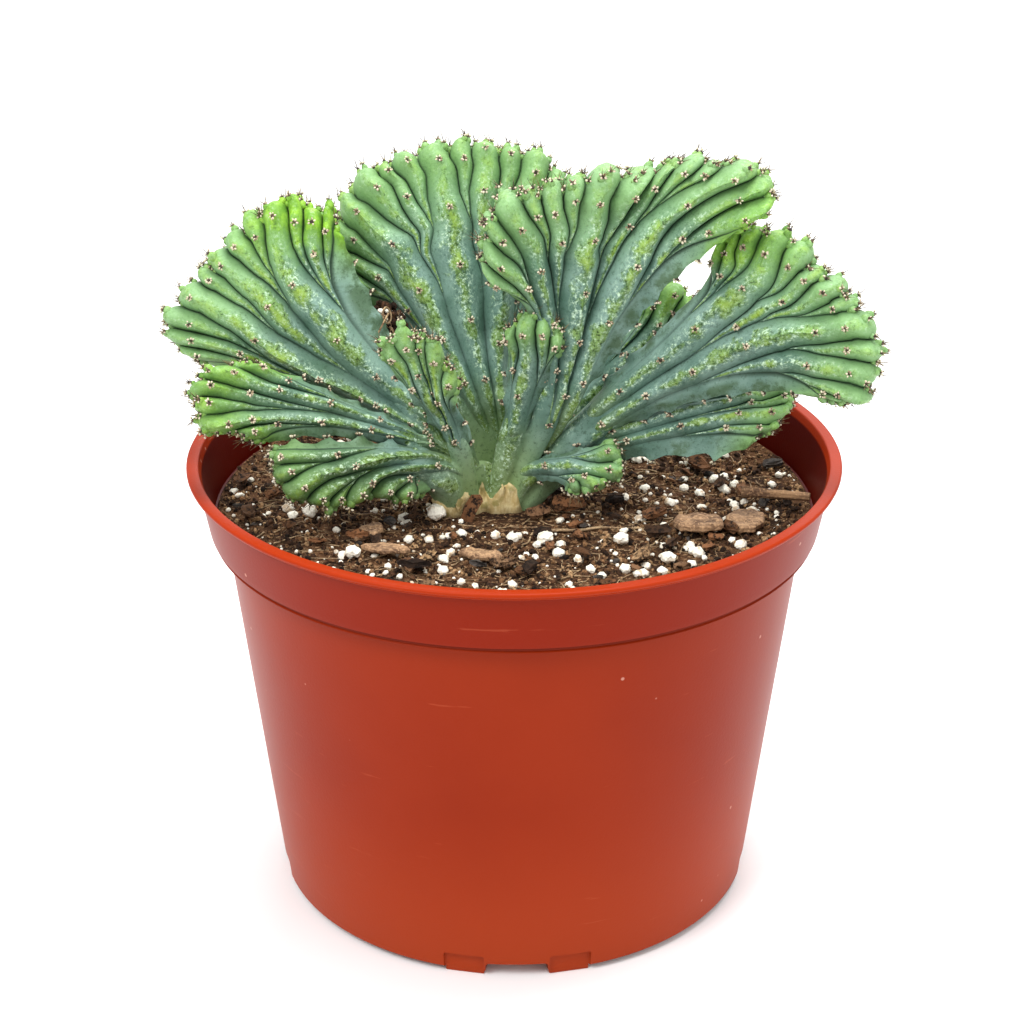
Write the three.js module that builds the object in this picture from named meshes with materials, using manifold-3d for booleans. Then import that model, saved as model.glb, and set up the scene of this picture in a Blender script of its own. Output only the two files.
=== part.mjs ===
// A crested blue myrtle cactus (Myrtillocactus geometrizans f. cristata) in a round grower's pot.
// Millimetres, +Z up. The origin is on the ground, on the axis of the pot. -Y is the plant's front.
//
// The pot is a lathed shell. The cactus is a bunch of fans: each fan is a curved sheet that widens
// from the trunk to its growing edge, with ribs raised on both of its faces.
import * as THREE from 'three';
import { mergeVertices } from 'three/addons/utils/BufferGeometryUtils.js';
import Module from 'manifold-3d';

const wasm = await Module();
wasm.setup();

// ---- Driving dimensions -------------------------------------------------------------------------

const GAP = 0.3; // clearance between pieces that rest on each other

const RIM_RADIUS = 76.2; // a nominal 6 inch pot
const POT_HEIGHT = 108;
const BASE_RADIUS = 57.3;
const WALL = 1.4;
const COLLAR_BOTTOM = 93;
const COLLAR_RADIUS = 71.7;
const WALL_TOP_RADIUS = 68;
const FLOOR_UNDERSIDE = 3.8;
const FLOOR_THICKNESS = 1.6;
const WALL_FOOT = 1.5; // height of the wall's lower edge above the ground
const LIP_DEPTH = 1.7;
const LIP_WIDTH = 3.3;
const POT_SEGMENTS = 56;

const FOOT_GROUPS = 4;
const NOTCH_EDGES = [-6.8, 8]; // degrees either side of the middle of a group of feet
const FOOT_ENDS = [-16.5, 18];
const FOOT_RECESS = 1;
const FOOT_TOP = 5.8;
const FOOT_DEPTH = 5;
const DRAIN = { length: 14, width: 8, radius: 45 };

const SOIL_LEVEL = 96;
const SOIL_LUMP = 1.5;
const SOIL_SEGMENTS = 36;
const SOIL_RINGS = 10;
const BEDDED_GRAINS = 48;
const GOLDEN_ANGLE = 2.39996;

const TRUNK = { x: -6.5, y: -3, radius: 10.5, flare: 12.5, squash: 0.72, foot: 82 };

// The ribbed swelling that the fans grow from.
const CROWN = { centre: [-2.5, -3, 108], radii: [13, 8, 12], ribs: 11, relief: 0.08 };

const RIB_RELIEF = 2.2; // height of a rib's crest over its creases
const BLADE = 2.5; // half the thickness of a fan at its creases
const STEM = 4.6; // the same near the trunk
const EDGE_ROUNDING = 3.4; // how far the growing edge stands past the ends of the ribs
const FLANGE_TOOTH = 1.1;
const SPINE = { length: 3.2, radius: 0.5 };
const SLIVER = 0.08; // joins are cleared of slivers thinner than this

// The fans. Each is a sheet between four rows of points: its root in the trunk, its narrow neck, its
// shoulder, where it spreads, and its growing edge. A row runs from the left side of the fan to the
// right, seen from the front. Flanges are the ribless sides, in rib widths. Thick scales the
// thickness, and follow is how closely the faces follow the twist of the sheet.
const FANS = {
  leftUpper: {
    ribs: 12,
    thick: 1,
    flanges: [0.6, 1.5],
    root: [[-14, -3, 106], [-11, 1, 108]],
    neck: [[-29, -4, 118], [-29, -3, 122], [-27, -2, 126], [-24, -1, 128]],
    shoulder: [[-53, -5, 130], [-57, -4, 134], [-59, -3, 139], [-56, -1, 146], [-51, 0, 151], [-45, 1, 153],
      [-38, 2, 151]],
    edge: [[-73, -1, 130], [-79, 1, 135], [-79, 3, 140], [-74, 4, 147], [-69, 5, 153], [-64, 5, 159],
      [-57, 5, 165], [-50, 6, 167], [-43, 6, 165], [-39, 4, 162]],
  },
  leftLower: {
    ribs: 6,
    thick: 0.85,
    flanges: [0.6, 0.9],
    root: [[-14, -5, 107], [-12, -6, 106]],
    neck: [[-30, -14, 125], [-31, -16, 123], [-31, -17, 120]],
    shoulder: [[-48, -15, 130], [-53, -17, 129], [-55, -19, 127], [-55, -20, 124], [-50, -21, 121]],
    edge: [[-56, -15, 135], [-62, -17, 136], [-68, -20, 135], [-71, -22, 132], [-71, -25, 128],
      [-68, -25, 123], [-62, -24, 121], [-57, -23, 118]],
  },
  leftFrill: {
    ribs: 8,
    thick: 0.65,
    flanges: [0.4, 0.5],
    root: [[-16, -10, 110], [-11, -9, 104]],
    neck: [[-27, -18, 119], [-28, -20, 116], [-24, -19, 112], [-18, -14, 108]],
    shoulder: [[-41, -22, 119], [-42, -24, 116], [-40, -24, 114], [-35, -22, 113], [-29, -20, 112],
      [-20, -15, 110]],
    edge: [[-55, -25, 119], [-54, -27, 115], [-52, -28, 111], [-48, -28, 107], [-43, -27, 105],
      [-38, -25, 105], [-33, -23, 105], [-28, -21, 104], [-22, -19, 103]],
  },
  back: {
    ribs: 14,
    thick: 1,
    flanges: [1.0, 0.5],
    root: [[-6, 4, 107], [-1, 5, 107]],
    neck: [[-14, 9, 124], [-12, 9, 128], [-9, 10, 129], [-5, 10, 128]],
    shoulder: [[-26, 12, 136], [-29, 13, 141], [-29, 14, 147], [-26, 15, 153], [-21, 15, 157],
      [-15, 16, 158], [-8, 16, 157], [-2, 15, 155], [2, 14, 150], [5, 13, 144]],
    edge: [[-38, 14, 141], [-41, 17, 148], [-41, 19, 156], [-39, 22, 163], [-33, 24, 169],
      [-26, 26, 171], [-18, 28, 172], [-10, 29, 174], [-2, 28, 173], [6, 27, 171], [13, 25, 167],
      [18, 22, 161]],
  },
  frontRight: {
    ribs: 15,
    thick: 1,
    follow: 0.3,
    flanges: [0.8, 1.6],
    root: [[3, -5, 109], [9, -4, 110]],
    neck: [[9, -9, 129], [12, -8, 133], [14, -9, 134], [22, -7, 133]],
    shoulder: [[9, -12, 145], [6, -11, 150], [5, -8, 154], [8, -8, 160], [12, -7, 160], [17, -4, 162],
      [21, -5, 162], [28, -6, 162], [32, -6, 162], [41, -9, 154]],
    edge: [[-4, -13, 153], [-7, -16, 159], [-7, -17, 165], [-5, -16, 171], [0, -13, 174],
      [6, -11, 175], [13, -9, 176], [20, -7, 177], [26, -7, 176], [33, -5, 178], [39, -6, 180],
      [46, -8, 180], [52, -10, 179], [57, -11, 176], [56, -14, 171], [50, -14, 166]],
  },
  right: {
    ribs: 13,
    thick: 0.9,
    flanges: [1.3, 1.4],
    root: [[9, -3, 109], [11, -5, 107]],
    neck: [[27, -4, 137], [30, -5, 134], [32, -6, 130], [33, -7, 126]],
    shoulder: [[43, -4, 146], [48, -5, 149], [53, -7, 150], [58, -9, 148], [62, -10, 144], [64, -12, 140],
      [64, -13, 135], [61, -14, 130]],
    edge: [[45, -1, 155], [47, -2, 159], [51, -5, 163], [58, -8, 164], [63, -11, 162], [68, -13, 157],
      [73, -15, 154], [77, -18, 149], [80, -21, 143], [80, -23, 138], [78, -24, 131], [74, -22, 128],
      [68, -20, 128]],
  },
  rightLow: {
    ribs: 5,
    thick: 0.8,
    flanges: [0.8, 1.4],
    root: [[10, -1, 109], [11, -3, 106]],
    neck: [[33, -5, 122], [34, -7, 119], [35, -8, 115], [34, -10, 112]],
    shoulder: [[49, -3, 125], [52, -6, 122], [51, -10, 118], [48, -13, 111]],
    edge: [[62, 3, 126], [64, 1, 124], [64, -3, 122], [61, -7, 118], [56, -11, 115]],
  },
  middleLeft: {
    ribs: 5,
    thick: 0.75,
    flanges: [0.5, 0.5],
    root: [[-12, -8, 108], [-8, -8, 108]],
    neck: [[-17, -13, 119], [-15, -13, 120], [-14, -13, 120], [-12, -13, 118]],
    shoulder: [[-25, -17, 131], [-23, -17, 134], [-21, -16, 134], [-18, -16, 132], [-14, -16, 126]],
    edge: [[-30, -18, 139], [-28, -20, 143], [-23, -20, 144], [-19, -20, 143], [-15, -18, 138],
      [-11, -16, 129]],
  },
  middle: {
    ribs: 4,
    thick: 0.75,
    flanges: [0.5, 0.5],
    root: [[-3, -6, 109], [1, -6, 109]],
    neck: [[-2, -8, 123], [0, -8, 125], [3, -9, 125], [5, -9, 122]],
    shoulder: [[-1, -8, 133], [2, -8, 137], [6, -9, 137], [9, -9, 134]],
    edge: [[-1, -6, 140], [1, -8, 144], [5, -8, 146], [9, -8, 144], [12, -6, 138]],
  },
  backPup: {
    ribs: 4,
    thick: 0.65,
    flanges: [0.4, 0.4],
    root: [[0, 3, 107], [4, 3, 107]],
    neck: [[16, 9, 120], [19, 9, 118], [22, 9, 115]],
    shoulder: [[29, 14, 133], [33, 14, 133], [37, 14, 129]],
    edge: [[30, 15, 138], [34, 17, 142], [39, 18, 142], [42, 18, 138], [41, 16, 133]],
  },
  frontPup: {
    ribs: 4,
    thick: 0.55,
    flanges: [0.4, 0.4],
    root: [[1, -6, 107], [0, -7, 103]],
    neck: [[9, -9, 110], [8, -11, 106]],
    shoulder: [[17, -11, 113], [17, -13, 109], [13, -14, 105]],
    edge: [[23, -11, 115], [25, -14, 111], [23, -16, 107], [17, -17, 105], [12, -17, 104]],
  },
  leftPup: {
    ribs: 3,
    thick: 0.5,
    flanges: [0.4, 0.4],
    root: [[-14, -6, 106], [-12, -8, 103]],
    neck: [[-20, -10, 108], [-18, -12, 105]],
    shoulder: [[-24, -13, 109], [-21, -13, 107]],
    edge: [[-31, -15, 109], [-30, -17, 106], [-26, -18, 104], [-21, -17, 103]],
  },
};
const FOLLOW = 0.6; // for a fan that names no other
const FAN_ROWS = [0, 0.22, 0.44, 0.64, 0.83, 1];

const BARK_CHIPS = [ // place on the soil, length, width, thickness, turn in degrees
  { x: 42, y: -21, length: 13, width: 8, thickness: 1.8, turn: 5 },
  { x: 53, y: -17, length: 11, width: 9, thickness: 1.8, turn: 70 },
  { x: -33, y: -24, length: 10, width: 5, thickness: 1.6, turn: 50 },
  { x: -29, y: -34, length: 11, width: 3.5, thickness: 1.4, turn: -10 },
  { x: -7, y: -35, length: 11, width: 4, thickness: 1.5, turn: -15 },
  { x: 4, y: 44, length: 12, width: 7, thickness: 1.8, turn: 30 },
];
const STICK = { x: 61, y: -6, length: 16, radius: 1.3, turn: -12 };
const GRAINS = [ // the larger loose perlite grains
  { x: -18, y: -14, size: 5.2 }, { x: 7, y: -26, size: 4.4 }, { x: 24, y: -27, size: 4 },
  { x: -36, y: -34, size: 4 }, { x: 34, y: -38, size: 3.8 }, { x: -47, y: -14, size: 4 },
  { x: -14, y: 40, size: 4.4 }, { x: 36, y: 30, size: 4 },
];

// ---- Helpers ------------------------------------------------------------------------------------

// A seeded random number source, so that every build is the same.
function seeded(seed) {
  let state = seed;
  return () => {
    state = (state + 0x6d2b79f5) | 0;
    let mixed = Math.imul(state ^ (state >>> 15), 1 | state);
    mixed = (mixed + Math.imul(mixed ^ (mixed >>> 7), 61 | mixed)) ^ mixed;
    return ((mixed ^ (mixed >>> 14)) >>> 0) / 4294967296;
  };
}

const lerp = THREE.MathUtils.lerp;
const step = (from, to, x) => THREE.MathUtils.smoothstep(x, from, to);

// A closed geometry as a solid that manifold-3d can cut and join.
function solid(geometry) {
  const bare = new THREE.BufferGeometry();
  bare.setAttribute('position', geometry.getAttribute('position'));
  bare.setIndex(geometry.getIndex());
  const merged = mergeVertices(bare, 1e-4);
  const index = merged.getIndex().array;
  const kept = [];
  for (let i = 0; i < index.length; i += 3) {
    const [a, b, c] = [index[i], index[i + 1], index[i + 2]];
    if (a !== b && b !== c && c !== a) kept.push(a, b, c);
  }
  return new wasm.Manifold(new wasm.Mesh({
    numProp: 3,
    vertProperties: new Float32Array(merged.getAttribute('position').array),
    triVerts: new Uint32Array(kept),
  }));
}

// The biggest closed skin of a joined body, which fills the small hollows sealed between fans and
// clears the slivers along the joins.
function outerSkin(body) {
  return body.simplify(SLIVER).decompose().sort((a, b) => b.volume() - a.volume())[0];
}

function pieceFrom(name, body, color, roughness) {
  const mesh = body.getMesh();
  const geometry = new THREE.BufferGeometry();
  geometry.setAttribute('position', new THREE.BufferAttribute(mesh.vertProperties, 3));
  geometry.setIndex(new THREE.BufferAttribute(mesh.triVerts, 1));
  geometry.computeVertexNormals();
  const piece = new THREE.Mesh(geometry, new THREE.MeshStandardMaterial({ color, roughness, metalness: 0 }));
  piece.name = name;
  return piece;
}

// LatheGeometry turns about Y, so the profile [radius, height] is stood up along Z.
function lathe(profile, segments) {
  const points = profile.map(([radius, height]) => new THREE.Vector2(radius, height));
  return new THREE.LatheGeometry(points, segments).rotateX(Math.PI / 2);
}

// ---- Pot ----------------------------------------------------------------------------------------

const wallRadius = (height) => lerp(BASE_RADIUS, WALL_TOP_RADIUS, height / COLLAR_BOTTOM);

function potShell() {
  const lipInner = RIM_RADIUS - LIP_WIDTH;
  const collarTop = RIM_RADIUS - 2.3;
  const floorTop = FLOOR_UNDERSIDE + FLOOR_THICKNESS;
  const profile = [
    [0, FLOOR_UNDERSIDE],
    [wallRadius(FLOOR_UNDERSIDE) - WALL, FLOOR_UNDERSIDE],
    [wallRadius(WALL_FOOT) - WALL, WALL_FOOT],
    [wallRadius(WALL_FOOT), WALL_FOOT],
    [wallRadius(COLLAR_BOTTOM - 1.4), COLLAR_BOTTOM - 1.4],
    [COLLAR_RADIUS - 0.7, COLLAR_BOTTOM - 0.9],
    [COLLAR_RADIUS - 0.7, COLLAR_BOTTOM + 0.3],
    [COLLAR_RADIUS, COLLAR_BOTTOM + 0.7],
    [collarTop, POT_HEIGHT - LIP_DEPTH - 0.4],
    [RIM_RADIUS, POT_HEIGHT - LIP_DEPTH],
    [RIM_RADIUS, POT_HEIGHT - 0.7],
    [RIM_RADIUS - 0.6, POT_HEIGHT],
    [lipInner, POT_HEIGHT],
    [collarTop - WALL, POT_HEIGHT - LIP_DEPTH - 0.6],
    [COLLAR_RADIUS - WALL, COLLAR_BOTTOM + 1.9],
    [wallRadius(COLLAR_BOTTOM) - WALL, COLLAR_BOTTOM + 0.3],
    [wallRadius(floorTop) - WALL, floorTop],
    [0, floorTop],
  ];
  return solid(lathe(profile, POT_SEGMENTS));
}

// A block between two angles and two radii, extruded from one height to another.
function sector(fromAngle, toAngle, innerRadius, outerRadius, bottom, top) {
  const [from, to] = [fromAngle, toAngle].map((degrees) => THREE.MathUtils.degToRad(degrees - 90));
  const shape = new THREE.Shape();
  shape.absarc(0, 0, outerRadius, from, to, false);
  shape.absarc(0, 0, innerRadius, to, from, true);
  const settings = { depth: top - bottom, bevelEnabled: false, curveSegments: 3 };
  return solid(new THREE.ExtrudeGeometry(shape, settings).translate(0, 0, bottom));
}

function pot() {
  let body = potShell();
  const skin = wallRadius(WALL_FOOT) - FOOT_RECESS;
  for (let group = 0; group < FOOT_GROUPS; group += 1) {
    const middle = (360 / FOOT_GROUPS) * group;
    const [notchFrom, notchTo] = NOTCH_EDGES.map((angle) => angle + middle);
    const [footFrom, footTo] = FOOT_ENDS.map((angle) => angle + middle);
    body = body.subtract(sector(notchFrom, notchTo, skin - FOOT_DEPTH, RIM_RADIUS, 0, FLOOR_UNDERSIDE));
    for (const [from, to] of [[footFrom, notchFrom], [notchTo, footTo]]) {
      body = body.subtract(sector(from, to, skin, RIM_RADIUS, 0, FOOT_TOP));
      body = body.add(sector(from, to, skin - FOOT_DEPTH, skin, 0, FLOOR_UNDERSIDE + 1));
    }
    const drain = new THREE.BoxGeometry(DRAIN.length, DRAIN.width, FLOOR_THICKNESS * 3);
    drain.translate(0, -DRAIN.radius, FLOOR_UNDERSIDE + FLOOR_THICKNESS / 2);
    body = body.subtract(solid(drain.rotateZ(THREE.MathUtils.degToRad(middle))));
  }
  return pieceFrom('pot', body, 0xaf4123, 0.42);
}

// ---- Soil ---------------------------------------------------------------------------------------

// Lumps come from a few waves that cross, and die away next to the trunk.
function soilHeight(x, y) {
  const waves = Math.sin(x * 0.31 + 1.3) * Math.cos(y * 0.27 - 0.4)
    + 0.7 * Math.sin(x * 0.13 - y * 0.52 + 2.1) + 0.6 * Math.cos(x * 0.61 + y * 0.38);
  const fromTrunk = Math.hypot(x - TRUNK.x, y - TRUNK.y);
  const calm = step(TRUNK.flare, TRUNK.flare + 14, fromTrunk);
  return SOIL_LEVEL + 0.5 * SOIL_LUMP * waves * calm;
}

function soilBlank() {
  const floorTop = FLOOR_UNDERSIDE + FLOOR_THICKNESS + GAP;
  const side = (height) => wallRadius(height) - WALL - GAP - 0.2;
  const topRadius = COLLAR_RADIUS - WALL - 0.6;
  const shoulder = COLLAR_BOTTOM + 0.6;
  const profile = [[0, floorTop], [side(floorTop), floorTop], [side(shoulder), shoulder],
    [topRadius, COLLAR_BOTTOM + 2.7]];
  for (let ring = 0; ring <= SOIL_RINGS; ring += 1) {
    profile.push([(topRadius - 0.8) * (1 - ring / SOIL_RINGS), SOIL_LEVEL]);
  }
  const geometry = lathe(profile, SOIL_SEGMENTS);
  const position = geometry.getAttribute('position');
  for (let i = 0; i < position.count; i += 1) {
    if (position.getZ(i) > SOIL_LEVEL - 0.01) {
      position.setZ(i, soilHeight(position.getX(i), position.getY(i)));
    }
  }
  return solid(geometry);
}

// Small perlite grains that are bedded in the mix, scattered evenly by the golden angle.
function beddedGrains(blank, random) {
  const ray = new THREE.Raycaster();
  const down = new THREE.Vector3(0, 0, -1);
  const grains = [];
  for (let i = 0; i < BEDDED_GRAINS; i += 1) {
    const angle = i * GOLDEN_ANGLE;
    const radius = lerp(16, 63, Math.sqrt(i / BEDDED_GRAINS));
    const [x, y] = [radius * Math.cos(angle), radius * Math.sin(angle)];
    if (Math.hypot(x - TRUNK.x, y - TRUNK.y) < TRUNK.flare + 4) continue;
    ray.set(new THREE.Vector3(x, y, POT_HEIGHT), down);
    const surface = ray.intersectObject(blank)[0].point;
    const size = lerp(1, 1.9, random());
    const grain = new THREE.OctahedronGeometry(size).rotateX(random() * 3).rotateZ(random() * 3);
    grains.push(solid(grain.translate(x, y, surface.z + 0.2 * size)));
  }
  return grains;
}

function soil() {
  const [top, width] = [SOIL_LEVEL + 6, TRUNK.radius + GAP];
  const hole = lathe([[0, TRUNK.foot - GAP], [width, TRUNK.foot - GAP], [width, top], [0, top]], 20);
  hole.scale(1, TRUNK.squash, 1).translate(TRUNK.x, TRUNK.y, 0);
  const blank = soilBlank();
  const grains = beddedGrains(pieceFrom('blank', blank, 0x4b3424, 1), seeded(7));
  const body = wasm.Manifold.union([blank, ...grains]).subtract(solid(hole));
  return pieceFrom('soil', body, 0x4b3424, 1);
}

// ---- Cactus -------------------------------------------------------------------------------------

// The middle surface of a fan: u runs across it and v from the trunk to the growing edge.
function middleSurface(fan) {
  const rows = [fan.root, fan.neck, fan.shoulder, fan.edge].map((points) => new THREE.CatmullRomCurve3(
    points.map((point) => new THREE.Vector3(...point)), false, 'catmullrom', 0.5));
  return (u, v) => {
    const [root, neck, shoulder, edge] = rows.map((row) => row.getPoint(u));
    const rounding = EDGE_ROUNDING * fan.thick;
    edge.lerp(shoulder, rounding / edge.distanceTo(shoulder)); // room for the rounded edge
    return root.multiplyScalar((1 - v) ** 3).addScaledVector(neck, 3 * v * (1 - v) ** 2)
      .addScaledVector(shoulder, 3 * v * v * (1 - v)).addScaledVector(edge, v ** 3);
  };
}

// The heights at which the ribs of a fan start: every fourth one runs down to the trunk, and the
// others wedge in between their neighbours higher up.
function ribStarts(count, random) {
  return Array.from({ length: count }, (_, rib) => {
    if (rib % 4 === 2 || count < 4) return -1;
    return rib % 4 === 0 ? lerp(0.26, 0.42, random()) : lerp(0.5, 0.7, random());
  });
}

// How wide each rib is at height v: 1 when it is fully grown.
const ribWidths = (starts, v) => starts.map((start) => (start < 0 ? 1 : step(start, start + 0.25, v)));

const sum = (numbers) => numbers.reduce((total, number) => total + number, 0);

// Where the columns of a fan's mesh lie across it at height v. Each column knows how far it stands
// up its rib (0 in a crease, 1 on the crest).
function columnsAt(fan, starts, v) {
  const spread = 0.2 + 0.8 * step(0.05, 0.35, v) * (1 - 0.7 * step(0.7, 1, v));
  const [left, right] = fan.flanges.map((flange) => flange * spread);
  const widths = ribWidths(starts, v);
  const total = left + sum(widths) + right;
  const columns = [{ u: 0, up: 0, side: true }];
  let reached = left;
  widths.forEach((width) => {
    columns.push({ u: reached / total, up: 0 });
    columns.push({ u: (reached + 0.3 * width) / total, up: width });
    columns.push({ u: (reached + 0.7 * width) / total, up: width });
    reached += width;
  });
  columns.push({ u: reached / total, up: 0 }, { u: 1, up: 0, side: true });
  return columns;
}

// The middle of the sheet at one place, with the directions along its growth, across it and out of
// its face.
function frameAt(fan, surface, u, v) {
  const e = 0.01;
  const directionsAt = (at) => {
    const along = surface(at, Math.min(v + e, 1)).sub(surface(at, Math.max(v - e, 0))).normalize();
    const across = surface(Math.min(at + e, 1), v).sub(surface(Math.max(at - e, 0), v)).normalize();
    return { along, across, normal: across.clone().cross(along).normalize() };
  };
  const { along, across, normal } = directionsAt(u);
  const follow = fan.follow ?? FOLLOW;
  normal.lerp(directionsAt(0.5).normal, 1 - follow).normalize();
  return { middle: surface(u, v), along, across, normal };
}

// Half the thickness of a fan at height v and the height of its ribs. Both shrink where it is narrow.
function bulkAt(fan, surface, starts, v) {
  let width = 0;
  for (let i = 0; i < 6; i += 1) width += surface(i / 6, v).distanceTo(surface((i + 1) / 6, v));
  const ribs = sum(ribWidths(starts, v)) + sum(fan.flanges);
  return {
    half: Math.min(lerp(STEM, BLADE, step(0, 0.5, v)) * fan.thick, 0.42 * width),
    relief: Math.min(RIB_RELIEF * fan.thick, (0.34 * width) / ribs),
  };
}

// The rows of points on the front and back faces, from the trunk up. The side columns are shared by
// both faces and stand out in a tooth at every other row.
function faceRows(fan, surface, starts) {
  const last = FAN_ROWS.length - 1;
  const rows = FAN_ROWS.map((v, row) => {
    const { half, relief } = bulkAt(fan, surface, starts, v);
    const tooth = row % 2 === 1 && row < last ? FLANGE_TOOTH : 0;
    const at = columnsAt(fan, starts, v).map(({ u, up, side }) => {
      const { middle, across, normal } = frameAt(fan, surface, u, v);
      if (side) middle.addScaledVector(across, (u < 0.5 ? -1 : 1) * tooth);
      return { middle, rise: normal.multiplyScalar(side ? 0 : half + relief * up) };
    });
    return {
      front: at.map(({ middle, rise }) => middle.clone().add(rise)),
      back: at.map(({ middle, rise }) => middle.clone().sub(rise)),
    };
  });
  return { front: rows.map((row) => row.front), back: rows.map((row) => row.back).reverse() };
}

// The growing edge rolls over from the front face to the back.
function rolledEdge(fan, surface, starts) {
  const { half, relief } = bulkAt(fan, surface, starts, 1);
  return [50, 130].map((degrees) => {
    const angle = THREE.MathUtils.degToRad(degrees);
    return columnsAt(fan, starts, 1).map(({ u, up, side }) => {
      const { middle, along, normal } = frameAt(fan, surface, u, 1);
      if (side) return middle;
      const reach = EDGE_ROUNDING * fan.thick * (0.62 + 0.38 * up) * Math.sin(angle);
      const rise = (half + relief * up * 0.8) * Math.cos(angle);
      return middle.addScaledVector(along, reach).addScaledVector(normal, rise);
    });
  });
}

// Areoles: one on the tip of each rib, and more down the crests of the ribs that reach the trunk.
function areolesOf(fan, surface, starts) {
  const areoles = [];
  starts.forEach((start, rib) => {
    const add = (v, face) => {
      const columns = columnsAt(fan, starts, v);
      const u = (columns[2 + 3 * rib].u + columns[3 + 3 * rib].u) / 2;
      const { middle, along, normal } = frameAt(fan, surface, u, v);
      const { half, relief } = bulkAt(fan, surface, starts, v);
      const out = normal.multiplyScalar(face);
      const point = middle.addScaledVector(out, half + 0.8 * relief);
      areoles.push({ point, out: out.clone().addScaledVector(along, 0.5) });
    };
    add(1, rib % 2 ? 1 : -1);
    if (start < 0) {
      add(0.7, 1);
      add(0.7, -1);
      add(0.4, rib % 8 === 2 ? 1 : -1);
    }
  });
  return areoles;
}

// One fan as a closed solid, with the places on it where areoles sit.
function fanSolid(fan, starts) {
  const surface = middleSurface(fan);
  const { front, back } = faceRows(fan, surface, starts);
  const rows = [...front, ...rolledEdge(fan, surface, starts), ...back];
  const wide = rows[0].length;
  const index = [];
  for (let row = 0; row < rows.length; row += 1) {
    const next = (row + 1) % rows.length; // the last strip closes the foot of the fan
    for (let column = 0; column + 1 < wide; column += 1) {
      const [a, b] = [row * wide + column, row * wide + column + 1];
      const [c, d] = [next * wide + column + 1, next * wide + column];
      index.push(a, b, c, a, c, d);
    }
  }
  const geometry = new THREE.BufferGeometry();
  const positions = rows.flat().flatMap((point) => point.toArray());
  geometry.setAttribute('position', new THREE.Float32BufferAttribute(positions, 3));
  geometry.setIndex(index);
  return { body: solid(geometry), areoles: areolesOf(fan, surface, starts) };
}

function spine({ point, out }, random) {
  const lean = new THREE.Vector3(random() - 0.5, random() - 0.5, random() - 0.5);
  const direction = out.clone().normalize().addScaledVector(lean, 0.7).normalize();
  const cone = new THREE.ConeGeometry(SPINE.radius, SPINE.length + 1.5, 3);
  cone.translate(0, SPINE.length / 2 - 0.75, 0);
  const turn = new THREE.Quaternion().setFromUnitVectors(new THREE.Vector3(0, 1, 0), direction);
  return solid(cone.applyQuaternion(turn).translate(...point.toArray()));
}

function trunk() {
  const { x, y, radius, flare, squash, foot } = TRUNK;
  const profile = [[0, foot], [radius, foot], [radius, SOIL_LEVEL + 0.4], [flare, SOIL_LEVEL + 2.4],
    [flare - 0.6, SOIL_LEVEL + 4], [radius - 0.5, SOIL_LEVEL + 8], [radius - 0.5, SOIL_LEVEL + 14],
    [5, SOIL_LEVEL + 19], [0, SOIL_LEVEL + 20]];
  const stem = solid(lathe(profile, 16).scale(1, squash, 1).translate(x, y, 0));
  const crown = new THREE.SphereGeometry(1, 2 * CROWN.ribs, 7).rotateX(Math.PI / 2);
  const position = crown.getAttribute('position');
  const point = new THREE.Vector3();
  for (let i = 0; i < position.count; i += 1) {
    point.fromBufferAttribute(position, i);
    const swell = 1 + CROWN.relief * Math.cos(CROWN.ribs * Math.atan2(point.y, point.x));
    position.setXYZ(i, point.x * swell, point.y * swell, point.z);
  }
  return stem.add(solid(crown.scale(...CROWN.radii).translate(...CROWN.centre)));
}

function cactus() {
  const random = seeded(11);
  const fans = Object.values(FANS).map((fan) => fanSolid(fan, ribStarts(fan.ribs, random)));
  const spines = fans.flatMap(({ areoles }) => areoles.map((areole) => spine(areole, random)));
  const joined = wasm.Manifold.union([trunk(), ...fans.map((fan) => fan.body), ...spines]);
  return pieceFrom('cactus', outerSkin(joined), 0x6d9a6c, 0.6);
}

// ---- Loose pieces on the soil -------------------------------------------------------------------

// Lowers a piece until it is GAP above the soil at its nearest point.
function setDown(piece, ground) {
  const ray = new THREE.Raycaster();
  const drop = (from, direction, target) => {
    ray.set(from, direction);
    const hit = ray.intersectObject(target)[0];
    return hit ? hit.distance : Infinity;
  };
  const [down, up] = [new THREE.Vector3(0, 0, -1), new THREE.Vector3(0, 0, 1)];
  piece.geometry.computeBoundingBox();
  const box = piece.geometry.boundingBox;
  let clear = Infinity;
  const corner = new THREE.Vector3();
  const own = piece.geometry.getAttribute('position');
  for (let i = 0; i < own.count; i += 1) {
    corner.fromBufferAttribute(own, i);
    clear = Math.min(clear, drop(corner.clone(), down, ground));
  }
  const soilPoints = ground.geometry.getAttribute('position');
  for (let i = 0; i < soilPoints.count; i += 1) {
    corner.fromBufferAttribute(soilPoints, i);
    const inside = corner.x > box.min.x && corner.x < box.max.x && corner.y > box.min.y && corner.y < box.max.y;
    if (inside && corner.z > SOIL_LEVEL - 5) clear = Math.min(clear, drop(corner.clone(), up, piece));
  }
  piece.geometry.translate(0, 0, GAP - clear);
  return piece;
}

function barkChip(chip, number, ground) {
  const random = seeded(100 + number);
  const corners = [];
  for (let i = 0; i < 8; i += 1) {
    const angle = (i / 8) * 2 * Math.PI;
    const bite = lerp(0.75, 1, random());
    corners.push(new THREE.Vector2(0.5 * chip.length * bite * Math.cos(angle),
      0.5 * chip.width * bite * Math.sin(angle)));
  }
  const settings = { depth: chip.thickness - 0.8, bevelThickness: 0.4, bevelSize: 0.4, bevelSegments: 1 };
  const geometry = new THREE.ExtrudeGeometry(new THREE.Shape(corners), settings);
  geometry.rotateZ(THREE.MathUtils.degToRad(chip.turn)).translate(chip.x, chip.y, SOIL_LEVEL + 20);
  return setDown(pieceFrom(`bark_chip_${number}`, solid(geometry), 0x7a4a30, 0.9), ground);
}

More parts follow.
